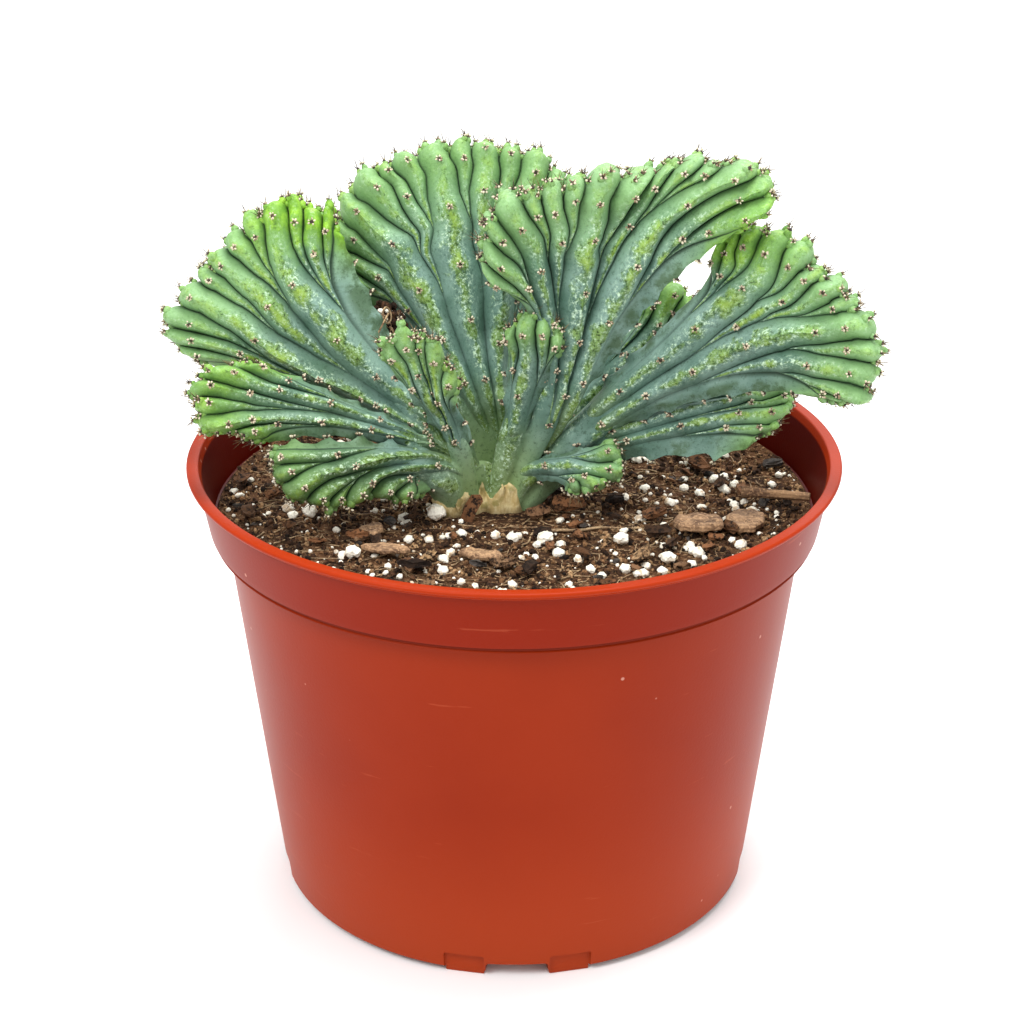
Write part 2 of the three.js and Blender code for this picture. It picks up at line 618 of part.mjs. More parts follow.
function stick(ground) {
  const geometry = new THREE.CylinderGeometry(STICK.radius, STICK.radius * 0.8, STICK.length, 7);
  geometry.rotateZ(Math.PI / 2).rotateZ(THREE.MathUtils.degToRad(STICK.turn));
  geometry.translate(STICK.x, STICK.y, SOIL_LEVEL + 20);
  return setDown(pieceFrom('stick', solid(geometry), 0x8a5a3a, 0.9), ground);
}

function grain(place, number, ground) {
  const random = seeded(200 + number);
  const geometry = new THREE.IcosahedronGeometry(place.size / 2, 0);
  geometry.rotateX(random() * 3).rotateZ(random() * 3).scale(1, lerp(0.75, 1, random()), 0.8);
  geometry.translate(place.x, place.y, SOIL_LEVEL + 20);
  return setDown(pieceFrom(`perlite_${number}`, solid(geometry), 0xf2f0ea, 0.95), ground);
}

// ---- The whole object ---------------------------------------------------------------------------

const ground = soil();
const pottedCactus = new THREE.Group();
pottedCactus.add(pot(), ground, cactus(), stick(ground));
BARK_CHIPS.forEach((chip, i) => pottedCactus.add(barkChip(chip, i + 1, ground)));
GRAINS.forEach((place, i) => pottedCactus.add(grain(place, i + 1, ground)));

export default pottedCactus;
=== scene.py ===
# %% [markdown]
# # A crested blue myrtle cactus in a round pot
# A crested cactus is a cactus whose growing point has turned into a growing line. The stem spreads
# into fans, and new ribs start again and again to fill their widening edge. This lesson dresses a plain
# solid model of such a plant and its pot. The solid model fixes every size and place, and each piece
# made here stands where one of its nodes stands.

# %% The solid model
import math
import random

import bpy
import numpy as np
from mathutils import Matrix, Vector, noise
from mathutils.bvhtree import BVHTree


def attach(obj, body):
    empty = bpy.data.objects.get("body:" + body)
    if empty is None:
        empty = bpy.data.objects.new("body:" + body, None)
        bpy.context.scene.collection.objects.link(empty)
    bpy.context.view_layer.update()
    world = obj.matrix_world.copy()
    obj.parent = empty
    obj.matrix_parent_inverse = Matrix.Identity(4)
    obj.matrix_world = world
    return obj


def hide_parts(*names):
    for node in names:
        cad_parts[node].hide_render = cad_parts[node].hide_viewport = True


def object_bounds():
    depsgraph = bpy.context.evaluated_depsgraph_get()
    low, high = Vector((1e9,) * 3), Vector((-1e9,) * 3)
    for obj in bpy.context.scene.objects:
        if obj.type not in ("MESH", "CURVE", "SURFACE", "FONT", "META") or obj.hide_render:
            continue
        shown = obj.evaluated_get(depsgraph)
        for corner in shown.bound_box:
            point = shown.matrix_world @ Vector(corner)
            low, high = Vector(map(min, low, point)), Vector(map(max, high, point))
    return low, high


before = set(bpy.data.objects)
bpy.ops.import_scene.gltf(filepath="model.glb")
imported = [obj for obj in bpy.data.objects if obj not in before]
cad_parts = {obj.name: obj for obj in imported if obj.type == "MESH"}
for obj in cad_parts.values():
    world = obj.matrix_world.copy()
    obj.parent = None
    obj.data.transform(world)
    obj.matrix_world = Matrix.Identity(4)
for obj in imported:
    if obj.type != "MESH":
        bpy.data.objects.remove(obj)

MM = 0.001
solid_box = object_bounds()
solid_size = [round(c, 4) for c in solid_box[1] - solid_box[0]]
print("solid model:", len(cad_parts), "nodes,", solid_size, "m")

# %% [markdown]
# ## Camera, floor and light
# The plant is seen from the front and a little above, with a long lens, so the round rim shows as a
# fairly flat ellipse. The light is that of a small product studio: a white sky all round, soft lamps
# over the front left and straight above, and weaker ones at the right and behind. The sky and the lamps
# are reflected at the sides of the pot and draw pale edges there.

# %% Camera, floor and light
CAMERA_AT = Vector((-0.2, -489.6, 314.8)) * MM
CAMERA_DOWN = math.radians(24.48)
LENS_MM = 79.8
SENSOR_MM = 36
SIDE_SHIFT = -0.0013
SKY_STRENGTH = 0.92
# Each lamp: its place, the height it looks at and its size, all in metres, and its power in watts.
LAMPS = {
    "key": ((-0.4, -0.5, 0.75), 0.1, 0.35, 5),
    "fill": ((0.6, -0.4, 0.4), 0.1, 0.5, 1.2),
    "top": ((0.12, 0.05, 0.9), 0.12, 0.4, 6),
    "back": ((0.1, 0.6, 0.6), 0.12, 0.6, 2.5),
}


def place_camera():
    data = bpy.data.cameras.new("camera")
    data.lens = LENS_MM
    data.sensor_width = SENSOR_MM
    data.shift_x = SIDE_SHIFT
    camera = bpy.data.objects.new("camera", data)
    camera.location = CAMERA_AT
    camera.rotation_euler = (math.pi / 2 - CAMERA_DOWN, 0, 0)
    bpy.context.scene.collection.objects.link(camera)
    bpy.context.scene.camera = camera


def lamp(name, place, target_height, size, power):
    """A square soft lamp that looks at the middle of the plant."""
    data = bpy.data.lights.new(name, "AREA")
    data.size = size
    data.energy = power
    light = bpy.data.objects.new(name, data)
    light.location = place
    way = Vector((0, 0, target_height)) - Vector(place)
    light.rotation_euler = way.to_track_quat("-Z", "Y").to_euler()
    bpy.context.scene.collection.objects.link(light)


def white_sky(strength):
    world = bpy.data.worlds.new("sky")
    world.use_nodes = True
    background = world.node_tree.nodes["Background"]
    background.inputs["Color"].default_value = (1, 1, 1, 1)
    background.inputs["Strength"].default_value = strength
    bpy.context.scene.world = world


place_camera()
bpy.context.scene.view_settings.view_transform = "Standard"
white_sky(SKY_STRENGTH)
for name, settings in LAMPS.items():
    lamp(name, *settings)
print("lamps:", list(LAMPS))

# %% [markdown]
# ## Writing materials as expressions
# A material is a tree of nodes, but a formula is easier to read. A `Wire` is one socket of the tree.
# Adding, subtracting or multiplying wires puts the Math nodes in for us, and `node` adds any other
# node. The nodes could be wired one by one instead, but then nobody can read the formula.

# %% Wires
class Wire:
    """One output socket in a material, ready to be used in an expression."""

    def __init__(self, tree, socket):
        self.tree = tree
        self.socket = socket

    def node(self, kind, settings=None, values=None, output=0):
        """Adds a node: first its settings, then the values or wires of its input sockets."""
        made = self.tree.nodes.new(kind)
        for name, value in (settings or {}).items():
            if name == "stops":
                set_stops(made.color_ramp, value)
            else:
                setattr(made, name, value)
        for name, value in (values or {}).items():
            if isinstance(value, Wire):
                self.tree.links.new(value.socket, made.inputs[name])
            else:
                made.inputs[name].default_value = value
        return Wire(self.tree, made.outputs[output])

    def maths(self, operation, first, second):
        return self.node("ShaderNodeMath", {"operation": operation}, {0: first, 1: second})

    def __add__(self, other):
        return self.maths("ADD", self, other)

    def __sub__(self, other):
        return self.maths("SUBTRACT", self, other)

    def __mul__(self, other):
        return self.maths("MULTIPLY", self, other)

    def __rsub__(self, other):
        return self.maths("SUBTRACT", other, self)

    __radd__ = __add__
    __rmul__ = __mul__

    def between(self, low, high):
        """0 below low, 1 above high, and a soft step in between."""
        settings = {"interpolation_type": "SMOOTHSTEP"}
        return self.node("ShaderNodeMapRange", settings, {"Value": self, "From Min": low, "From Max": high})

    def speckle(self, size, detail=2.0, rough=0.5):
        """Soft noise from 0 to 1 on these coordinates, with blobs of about this size in metres."""
        values = {"Vector": self, "Scale": 1 / size, "Detail": detail, "Roughness": rough}
        return self.node("ShaderNodeTexNoise", None, values)

    def cells(self, size):
        """The distance to the nearest of many scattered points, as a share of their spacing."""
        return self.node("ShaderNodeTexVoronoi", None, {"Vector": self, "Scale": 1 / size})

    def stretched(self, x, y, z):
        """These coordinates multiplied along each axis."""
        return self.node("ShaderNodeMapping", None, {"Vector": self, "Scale": (x, y, z)})

    def part(self, axis):
        """One coordinate of this vector, by the number of its axis."""
        return self.node("ShaderNodeSeparateXYZ", None, {"Vector": self}, axis)

    def length(self):
        """The length of this vector."""
        return self.node("ShaderNodeVectorMath", {"operation": "LENGTH"}, {0: self}, 1)

    def blend(self, first, second):
        """A colour between two colours, by this wire."""
        settings = {"data_type": "RGBA"}
        return self.node("ShaderNodeMix", settings, {0: self, 6: first, 7: second}, 2)


# %% [markdown]
# Colours are easiest to choose as they look on a screen, while a shader wants linear values, so `rgb`
# turns the one into the other. `Finish` starts a material and hands out its first wires: the object's
# own coordinates, in metres, and the values that are stored on its points.

# %% Colours and finishes
def set_stops(ramp, stops):
    while len(ramp.elements) < len(stops):
        ramp.elements.new(0.5)
    for element, (place, colour) in zip(ramp.elements, stops):
        element.position = place
        element.color = colour


def rgb(red, green, blue):
    """A colour given as on a screen, 0 to 255, in the linear values that a shader wants."""
    values = [c / 255 for c in (red, green, blue)]
    return tuple(c / 12.92 if c < 0.04 else ((c + 0.055) / 1.055) ** 2.4 for c in values) + (1,)


class Finish:
    """A material with its shader, its object coordinates and its attributes."""

    def __init__(self, name, **constants):
        self.material = bpy.data.materials.new(name)
        self.material.use_nodes = True
        self.tree = self.material.node_tree
        self.shader = self.tree.nodes["Principled BSDF"]
        coordinates = self.tree.nodes.new("ShaderNodeTexCoord")
        self.place = Wire(self.tree, coordinates.outputs["Object"])
        for socket, value in constants.items():
            self.shader.inputs[socket.replace("_", " ")].default_value = value

    def attribute(self, name):
        return self.place.node("ShaderNodeAttribute", {"attribute_name": name}, None, 2)

    def feed(self, **wires):
        for socket, wire in wires.items():
            self.tree.links.new(wire.socket, self.shader.inputs[socket.replace("_", " ")])

    def bump(self, height, distance, strength=1.0):
        values = {"Height": height, "Distance": distance, "Strength": strength}
        self.feed(Normal=self.place.node("ShaderNodeBump", None, values))


# %% [markdown]
# The floor is a wide plain sheet of matt white board with a very faint mottle. One plane is enough for
# it, because only its upper side is seen, and the soft shadow on it tells that the pot stands there.

# %% The floor
def floor_finish():
    finish = Finish("white_board", Roughness=0.7)
    mottle = finish.place.speckle(0.08)
    finish.feed(Base_Color=mottle.blend(rgb(246, 246, 246), rgb(250, 250, 250)))
    return finish.material


bpy.ops.mesh.primitive_plane_add(size=6)
floor = bpy.context.object
floor.name = "floor"
floor.data.materials.append(floor_finish())
print("floor:", round(floor.dimensions.x, 1), "m wide")

# %% [markdown]
# ## Small helpers for pieces
# Every piece ends the same way: its place goes into its mesh, it gets its material, it rides on the
# one body there is, and it hides the solids that it stands for.

# %% Helpers for pieces
# The range of a random turn, in radians: a whole turn.
ANY_TURN = (0, 6.3)


def only(piece):
    """Deselects all and selects this piece."""
    if bpy.context.mode != "OBJECT":
        bpy.ops.object.mode_set(mode="OBJECT")
    bpy.ops.object.select_all(action="DESELECT")
    piece.select_set(True)
    bpy.context.view_layer.objects.active = piece


def apply_modifier(piece, kind, **settings):
    only(piece)
    modifier = piece.modifiers.new(kind.lower(), kind)
    for name, value in settings.items():
        setattr(modifier, name, value)
    bpy.ops.object.modifier_apply(modifier=modifier.name)


def finish_piece(piece, name, slot, material, *nodes, smooth=None):
    """Readies a piece. Edges sharper than the angle smooth, in degrees, stay sharp."""
    only(piece)
    bpy.ops.object.transform_apply(location=True, rotation=True, scale=True)
    if smooth is not None:
        bpy.ops.object.shade_smooth_by_angle(angle=math.radians(smooth))
    piece.name = name
    piece.data.materials.clear()
    piece.data.materials.append(material)
    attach(piece, "root")
    if nodes:
        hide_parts(*nodes)
    print(name, len(piece.data.polygons), "faces")


def store(mesh, attributes):
    """Keeps a value per point in the mesh for each attribute."""
    for name, values in attributes.items():
        layer = mesh.attributes.new(name, "FLOAT", "POINT")
        layer.data.foreach_set("value", np.asarray(values, np.float32))


def mesh_piece(points, faces, attributes=None):
    """A new object from points in millimetres, with a value per point for each attribute."""
    mesh = bpy.data.meshes.new("made")
    mesh.from_pydata((np.asarray(points) * MM).tolist(), [], faces)
    store(mesh, attributes or {})
    piece = bpy.data.objects.new("made", mesh)
    bpy.context.scene.collection.objects.link(piece)
    return piece


def copies(template, placements, attributes=None):
    """One mesh piece from many copies of a template's points and faces, each moved by a matrix. Each
    attribute has a value per copy."""
    shape = np.array([list(v.co) + [1] for v in template.vertices])
    faces = [tuple(p.vertices) for p in template.polygons]
    points = np.concatenate([shape @ np.array(m).T for m in placements])[:, :3]
    every = [tuple(i + k * len(shape) for i in face) for k in range(len(placements)) for face in faces]
    values = {name: np.repeat(each, len(shape)) for name, each in (attributes or {}).items()}
    return mesh_piece(points / MM, every, values)


def smoothstep(low, high, x):
    t = np.clip((x - low) / (high - low), 0, 1)
    return t * t * (3 - 2 * t)


def lerp(a, b, t):
    return a + (b - a) * t


def ramp(low, high, x):
    """0 at low, 1 at high, and a straight slope in between."""
    return min(max((x - low) / (high - low), 0), 1)


def placed(point, turn, scale):
    """The placement of a copy that is scaled, then turned, then moved to a point in millimetres."""
    return Matrix.Translation(Vector(point) * MM) @ turn @ Matrix.Diagonal((*scale, 1))


# %% [markdown]
# ## The pot
# The real pot is injection moulded: one thin skin of terracotta-coloured plastic with a deeper collar
# under a rolled lip. It is a turned shape, so it starts as a ring of points at the inner edge of the
# floor. The ring is extruded and scaled from one point of the profile to the next, up the outside,
# over the lip and down the inside, and the two open ends are capped to make the floor. A Screw modifier
# would turn the same profile, but rings that are extruded one by one are easy to check on the way.

# %% The pot's shell
RIM_RADIUS = 76.2
POT_HEIGHT = 108
BASE_RADIUS = 57.3
WALL_TOP_RADIUS = 68
COLLAR_BOTTOM = 93
COLLAR_RADIUS = 71.7
COLLAR_FOOT = 93.7
COLLAR_TOP = 105.7
LIP_OVERHANG = 2.3
LIP_DEPTH = 2.9
LIP_ROUND = 0.55
WALL = 1.4
WALL_FOOT = 1.5
FLOOR_UNDERSIDE = 3.8
FLOOR_TOP = 5.4
POT_SEGMENTS = 192


def wall_radius(height):
    return lerp(BASE_RADIUS, WALL_TOP_RADIUS, height / COLLAR_BOTTOM)


def arc(centre, radius, start, end, count):
    """Points of a profile on an arc, with its angles in degrees from the outward direction."""
    angles = np.radians(np.linspace(start, end, count))
    return [(centre[0] + radius * math.cos(a), centre[1] + radius * math.sin(a)) for a in angles]


def pot_profile():
    """The (radius, height) points of the pot's wall, from the floor's underside round to its top."""
    lip_outer = RIM_RADIUS - LIP_ROUND
    lip_inner = RIM_RADIUS - LIP_DEPTH + LIP_ROUND
    lip_middle = POT_HEIGHT - LIP_ROUND
    collar_top = RIM_RADIUS - LIP_OVERHANG
    foot = [
        (wall_radius(FLOOR_UNDERSIDE) - WALL, FLOOR_UNDERSIDE),
        (wall_radius(2) - WALL, WALL_FOOT + 0.3),
        (wall_radius(2) - WALL + 0.3, WALL_FOOT),
        (wall_radius(2) - 0.3, WALL_FOOT),
        (wall_radius(2), WALL_FOOT + 0.3),
    ]
    side = [(wall_radius(h), h) for h in np.linspace(5, 88, 12)]
    step = [
        (wall_radius(91.3), 91.3),
        (COLLAR_RADIUS - 1.5, 91.7),
        (COLLAR_RADIUS - 0.7, 91.8),
        (COLLAR_RADIUS - 1.05, 92.1),
        (COLLAR_RADIUS - 1.05, 92.9),
        (COLLAR_RADIUS - 0.15, 93.1),
        (COLLAR_RADIUS, COLLAR_FOOT),
    ]
    shares = (0.1, 0.35, 0.65, 0.95, 1)
    collar = [(lerp(COLLAR_RADIUS, collar_top, t), lerp(COLLAR_FOOT, COLLAR_TOP, t)) for t in shares]
    under_lip = [
        (collar_top + 0.2, 106.1),
        (RIM_RADIUS - 1.1, 106.2),
        (RIM_RADIUS - 0.9, 106.4),
        (RIM_RADIUS - 0.9, 106.75),
        (lip_outer, 106.9),
    ]
    lip = arc((lip_outer, lip_middle), LIP_ROUND, -60, 90, 7)
    lip += arc((lip_inner, lip_middle), LIP_ROUND, 90, 170, 5)
    inside = [
        (RIM_RADIUS - LIP_OVERHANG - WALL, 105.4),
        (COLLAR_RADIUS - WALL, 95),
        (wall_radius(COLLAR_BOTTOM) - WALL, 93.4),
    ]
    inside += [(wall_radius(h) - WALL, h) for h in (88, 60, 30, 7)]
    inside.append((wall_radius(7) - WALL - 1.2, FLOOR_TOP))
    return foot + side + step + collar + under_lip + lip + inside


def turned(profile, segments):
    """A closed turned shape: a ring that is extruded and scaled along a profile, with both ends capped."""
    radius, height = (c * MM for c in profile[0])
    bpy.ops.object.select_all(action="DESELECT")
    bpy.ops.mesh.primitive_circle_add(vertices=segments, radius=radius, location=(0, 0, height))
    piece = bpy.context.object
    bpy.ops.object.mode_set(mode="EDIT")
    bpy.ops.mesh.select_mode(type="EDGE")
    bpy.ops.mesh.select_all(action="SELECT")
    for (r0, h0), (r1, h1) in zip(profile, profile[1:]):
        bpy.ops.mesh.extrude_edges_move(TRANSFORM_OT_translate={"value": (0, 0, (h1 - h0) * MM)})
        bpy.ops.transform.resize(value=(r1 / r0, r1 / r0, 1), center_override=(0, 0, h1 * MM))
    bpy.ops.mesh.edge_face_add()
    bpy.ops.mesh.select_all(action="DESELECT")
    bpy.ops.mesh.select_non_manifold()
    bpy.ops.mesh.edge_face_add()
    bpy.ops.mesh.select_all(action="SELECT")
    bpy.ops.mesh.normals_make_consistent(inside=False)
    bpy.ops.object.mode_set(mode="OBJECT")
    return piece


pot = turned(pot_profile(), POT_SEGMENTS)
print("pot shell:", len(pot.data.polygons), "faces")

# %% [markdown]
# The pot stands on eight small feet, in four pairs. Between the two feet of a pair the wall has a
# notch, so that water can leave, and the wall is set back by a millimetre over each foot. All of them
# are rounded blocks across the pot's wall, which Boolean modifiers take away or add, because that
# leaves clean edges in a curved wall. The floor has a drain slot behind each notch.

# %% Feet and drains
FOOT_ANGLES = [(-16.5, -6.8), (8, 18)]
NOTCH = (-6.8, 8)
FOOT_RECESS = 1
FOOT_DEPTH = 5
FOOT_TOP = 5.8
DRAIN_RADIUS = 45
DRAIN_WIDTH = 8
DRAIN_CUT_TOP = 9
DRAIN_LENGTH = 14
OUTSIDE = 66
BELOW = -4


def block(turn, radii, heights, width, rounding):
    """A rounded block across the pot's radius at an angle in degrees from the front."""
    depth = radii[1] - radii[0]
    angle = math.radians(turn)
    reach = sum(radii) / 2 * MM
    place = (reach * math.sin(angle), -reach * math.cos(angle), sum(heights) / 2 * MM)
    bpy.ops.object.select_all(action="DESELECT")
    bpy.ops.mesh.primitive_cube_add(size=1, location=place, rotation=(0, 0, angle))
    made = bpy.context.object
    made.scale = (width * MM, depth * MM, (heights[1] - heights[0]) * MM)
    bpy.ops.object.transform_apply(location=False, rotation=False, scale=True)
    apply_modifier(made, "BEVEL", width=rounding * MM, segments=2)
    return made


def combine(piece, tool, operation):
    apply_modifier(piece, "BOOLEAN", operation=operation, object=tool, solver="EXACT")
    bpy.data.objects.remove(tool)


def width_between(angles, radius):
    return 2 * radius * math.sin(math.radians(angles[1] - angles[0]) / 2)


foot_radius = wall_radius(WALL_FOOT) - FOOT_RECESS
for turn in (0, 90, 180, 270):
    notch = block(turn + sum(NOTCH) / 2, (foot_radius - FOOT_DEPTH, OUTSIDE), (BELOW, FLOOR_UNDERSIDE),
        width_between(NOTCH, foot_radius), 0.8)
    combine(pot, notch, "DIFFERENCE")
    for angles in FOOT_ANGLES:
        middle = turn + sum(angles) / 2
        width = width_between(angles, foot_radius)
        recess = block(middle, (foot_radius, OUTSIDE), (BELOW, FOOT_TOP), width, 0.6)
        combine(pot, recess, "DIFFERENCE")
        foot = block(middle, (foot_radius - FOOT_DEPTH, foot_radius - 0.05), (0, FLOOR_UNDERSIDE + 1),
            width - 0.4, 0.35)
        combine(pot, foot, "UNION")
    drain_edges = (DRAIN_RADIUS - DRAIN_WIDTH / 2, DRAIN_RADIUS + DRAIN_WIDTH / 2)
    drain = block(turn, drain_edges, (0, DRAIN_CUT_TOP), DRAIN_LENGTH, 2)
    combine(pot, drain, "DIFFERENCE")
print("pot with feet and drains:", len(pot.data.polygons), "faces")


# %% [markdown]
# The plastic is dyed right through and has the soft sheen of a moulded part. Light and shade are
# painted over its one colour. The collar and the inside are a slightly deeper red, painted shade where
# light is scarce. The lip is a brighter orange, a painted highlight, and the lower wall is paler, painted
# light. The step under the collar and the seam under the lip have dark painted shade. Handling has left
# a few hair-thin scratches round the wall and some pale specks of dried water. All this could be painted
# on an unwrapped pot, but heights and noise in the object's own coordinates, in metres, need no unwrapping.

# %% The pot's plastic
def plastic_finish():
    finish = Finish("pot_plastic", Roughness=0.33, Specular_IOR_Level=0.085)
    place = finish.place
    height = place.part(2)
    cloud = place.speckle(0.045, 3)
    grain = place.speckle(0.0006, 2)
    scuffs = place.stretched(1, 1, 14).speckle(0.03, 4, 0.65).between(0.66, 0.72)
    specks = 1 - place.cells(0.011).between(0.03, 0.045)
    shade = cloud.between(0.3, 0.7).blend(rgb(128, 34, 4), rgb(134, 38, 6))
    # Painted light: the wall turns paler towards the foot, up to 5 cm high.
    body = (1 - height.between(0.0, 0.05)).blend(shade, rgb(150, 52, 20))
    # Painted shade: a deeper red on the collar, above 92 mm.
    collar = height.between(0.0922, 0.0935).blend(body, rgb(122, 26, 0))
    # Painted shade: a dark red on the inner wall above 90 mm.
    from_axis = place.stretched(1, 1, 0).length()
    inside = 1 - (from_axis - height * 0.18).between(0.0537, 0.0543)
    dark = (inside * height.between(0.09, 0.093)).blend(collar, rgb(74, 6, 0))
    # Painted highlight: a brighter orange on the lip.
    lip = height.between(0.1058, 0.1063).blend(dark, rgb(152, 42, 4))
    # Painted shade: dark lines in the step under the collar and the seam under the lip.
    groove = height.between(0.0919, 0.0921) * (1 - height.between(0.0928, 0.0931))
    seam = height.between(0.1059, 0.106) * (1 - height.between(0.1062, 0.1063))
    with_step_shade = (groove * 0.2 + seam * 0.4).blend(lip, rgb(88, 16, 0))
    worn = (scuffs * 0.25).blend(with_step_shade, rgb(176, 84, 54))
    spotted = (specks * 0.5).blend(worn, rgb(214, 160, 140))
    finish.feed(Base_Color=spotted, Roughness=0.34 + cloud * 0.08)
    finish.bump(grain * 0.5 + cloud, 0.00012, 0.5)
    return finish.material


finish_piece(pot, "pot_shell", "pot", plastic_finish(), "pot", smooth=38)

# %% [markdown]
# ## The potting mix
# The mix is peat with bark, fine roots and perlite. Its body is a turned shape that stands just clear
# of the pot's wall. The top face is inset again and again to give it enough points, and two Displace
# modifiers with cloud textures lift it into lumps and crumbs, as much as the solid model's own lumps.

# %% The body of the mix
SOIL_LEVEL = 96
TRUNK_AT = Vector((-6.5, -3, 0))
SOIL_RADIUS = COLLAR_RADIUS - WALL - 0.6
SOIL_INSETS = 66
# The size and the height of its lumps, and of the crumbs on them.
SOIL_LUMPS = [(15, 3.4), (3.4, 2.6)]


def lumps(piece, group, size, height):
    texture = bpy.data.textures.new("lumps", "CLOUDS")
    texture.noise_scale = size * MM
    texture.noise_depth = 3
    apply_modifier(piece, "DISPLACE", texture=texture, strength=height * MM, mid_level=0.5, direction="Z",
        texture_coords="LOCAL", vertex_group=group)


def potting_mix():
    floor_gap = FLOOR_TOP + 0.3
    side = (wall_radius(floor_gap) - WALL - 0.5, wall_radius(COLLAR_BOTTOM) - WALL - 0.6)
    profile = [(side[0], floor_gap), (side[1], COLLAR_BOTTOM + 0.4), (SOIL_RADIUS, SOIL_LEVEL - 0.9),
        (SOIL_RADIUS - 0.5, SOIL_LEVEL - 0.2), (SOIL_RADIUS - 1.2, SOIL_LEVEL)]
    piece = turned(profile, POT_SEGMENTS)
    bpy.ops.object.transform_apply(location=True)
    level = (SOIL_LEVEL - 0.1) * MM
    for face in piece.data.polygons:
        face.select = face.center.z > level and face.normal.z > 0.9
    bpy.ops.object.mode_set(mode="EDIT")
    bpy.ops.mesh.select_mode(type="FACE")
    for _ in range(SOIL_INSETS):
        bpy.ops.mesh.inset(thickness=(SOIL_RADIUS - 3) / SOIL_INSETS * MM)
    bpy.ops.object.mode_set(mode="OBJECT")
    top = piece.vertex_groups.new(name="top")
    top.add([v.index for v in piece.data.vertices if v.co.z > level], 1, "REPLACE")
    for size, height in SOIL_LUMPS:
        lumps(piece, "top", size, height)
    return piece


mix = potting_mix()
mix_top = max(v.co.z for v in mix.data.vertices) / MM
print("mix:", len(mix.data.polygons), "faces, top up to", round(mix_top, 1), "mm")

# %% [markdown]
# Dry peat is dark brown with tan and black bits, and it is matt all over. A fine cell pattern and
# two sizes of noise give the colour and the crumbly relief. Loose crumbs and slivers differ one from
# the next, so each copy carries a tone that picks its colour. Perlite is white volcanic glass with
# pits, a little dusty, and bark and twigs have a grain that runs along them.

# %% Finishes of the mix
def mix_finish():
    finish = Finish("peat", Roughness=0.95, Specular_IOR_Level=0.15)
    place = finish.place
    patches = place.speckle(0.008, 4, 0.6)
    grit = place.speckle(0.0011, 4, 0.75)
    brown = patches.between(0.35, 0.65).blend(rgb(52, 34, 23), rgb(104, 72, 48))
    tan = grit.between(0.54, 0.66).blend(brown, rgb(188, 150, 110))
    dark = (1 - grit.between(0.34, 0.46)) * 0.95
    finish.feed(Base_Color=dark.blend(tan, rgb(16, 10, 8)))
    finish.bump(grit - place.cells(0.0016) * 0.6, 0.0014, 1.0)
    return finish.material


def toned_finish(name, stops, grain_size):
    """A rough finish whose colour runs through the stops by the tone that each copy carries."""
    finish = Finish(name, Roughness=0.9, Specular_IOR_Level=0.2)
    grain = finish.place.speckle(grain_size, 4, 0.7)
    tone = finish.attribute("tone") + (grain - 0.5) * 0.35
    colour = tone.node("ShaderNodeValToRGB", {"stops": stops}, {"Fac": tone})
    finish.feed(Base_Color=(1 - grain.between(0.38, 0.53)).blend(colour, rgb(24, 16, 11)))
    finish.bump(grain, 0.0006, 0.9)
    return finish.material


def perlite_finish():
    finish = Finish("perlite", Roughness=0.85)
    pits = finish.place.cells(0.0007)
    dust = finish.place.speckle(0.002, 3)
    finish.feed(Base_Color=dust.between(0.52, 0.72).blend(rgb(250, 244, 228), rgb(196, 172, 142)))
    finish.bump(pits, 0.0004, 0.7)
    return finish.material


def wood_finish(name, dark, light, stretch):
    finish = Finish(name, Roughness=0.85)
    grain = finish.place.stretched(*stretch).speckle(0.004, 5, 0.65)
    stain = finish.place.speckle(0.006, 3)
    colour = (grain.between(0.32, 0.66) * 0.6).blend(dark, light)
    specks = finish.place.speckle(0.0006, 3).between(0.52, 0.6) * 0.6
    stained = (stain.between(0.5, 0.75) * 0.45).blend(specks.blend(colour, light), rgb(52, 34, 24))
    finish.feed(Base_Color=stained)
    finish.bump(grain, 0.0006, 0.8)
    return finish.material


peat = mix_finish()
perlite = perlite_finish()
crumb_brown = toned_finish("peat_crumbs", [
    (0, rgb(28, 19, 13)),
    (0.45, rgb(84, 56, 37)),
    (0.8, rgb(134, 98, 66)),
    (1, rgb(186, 150, 110)),
], 0.0008)
bark_brown = toned_finish("bark_slivers", [
    (0, rgb(34, 25, 20)),
    (0.35, rgb(80, 55, 36)),
    (0.65, rgb(128, 86, 56)),
    (0.85, rgb(116, 88, 64)),
    (1, rgb(178, 144, 106)),
], 0.0014)
bark = wood_finish("bark", rgb(88, 60, 40), rgb(198, 158, 118), (1, 2.6, 1))
twig_wood = wood_finish("twig_wood", rgb(84, 58, 40), rgb(180, 140, 100), (0.3, 3, 3))
finish_piece(mix, "potting_mix", "soil", peat, "soil", smooth=60)

# %% [markdown]
# Loose bits make the surface read as a mix rather than a cake: crumbs of peat, grains of perlite in
# all sizes, and hair roots. One lumpy crumb and one grain are modelled from ico spheres, and copies of
# them are scattered with a seeded random number source. Each lands on the surface below it. A particle
# system could scatter them too, but these copies are plain meshes that any program can read.

# %% Crumbs and perlite
TRUNK_CLEARANCE = 13


def lumpy_ball(subdivisions, roughness, seed):
    """A ball of one millimetre's radius with its points moved at random."""
    bpy.ops.object.select_all(action="DESELECT")
    bpy.ops.mesh.primitive_ico_sphere_add(subdivisions=subdivisions, radius=MM)
    ball = bpy.context.object
    bpy.ops.object.mode_set(mode="EDIT")
    bpy.ops.transform.vertex_random(offset=roughness * MM, uniform=1, seed=seed)
    bpy.ops.object.mode_set(mode="OBJECT")
    return ball


def surface_of(piece):
    """A search tree of a piece's faces, to drop things on."""
    corners = [v.co.copy() for v in piece.data.vertices]
    return BVHTree.FromPolygons(corners, [tuple(p.vertices) for p in piece.data.polygons])


def ground_at(x, y):
    """The height of the mix below a place, in millimetres."""
    hit = ground.ray_cast(Vector((x, y, 200)) * MM, Vector((0, 0, -1)))[0]
    return hit.z / MM if hit else SOIL_LEVEL


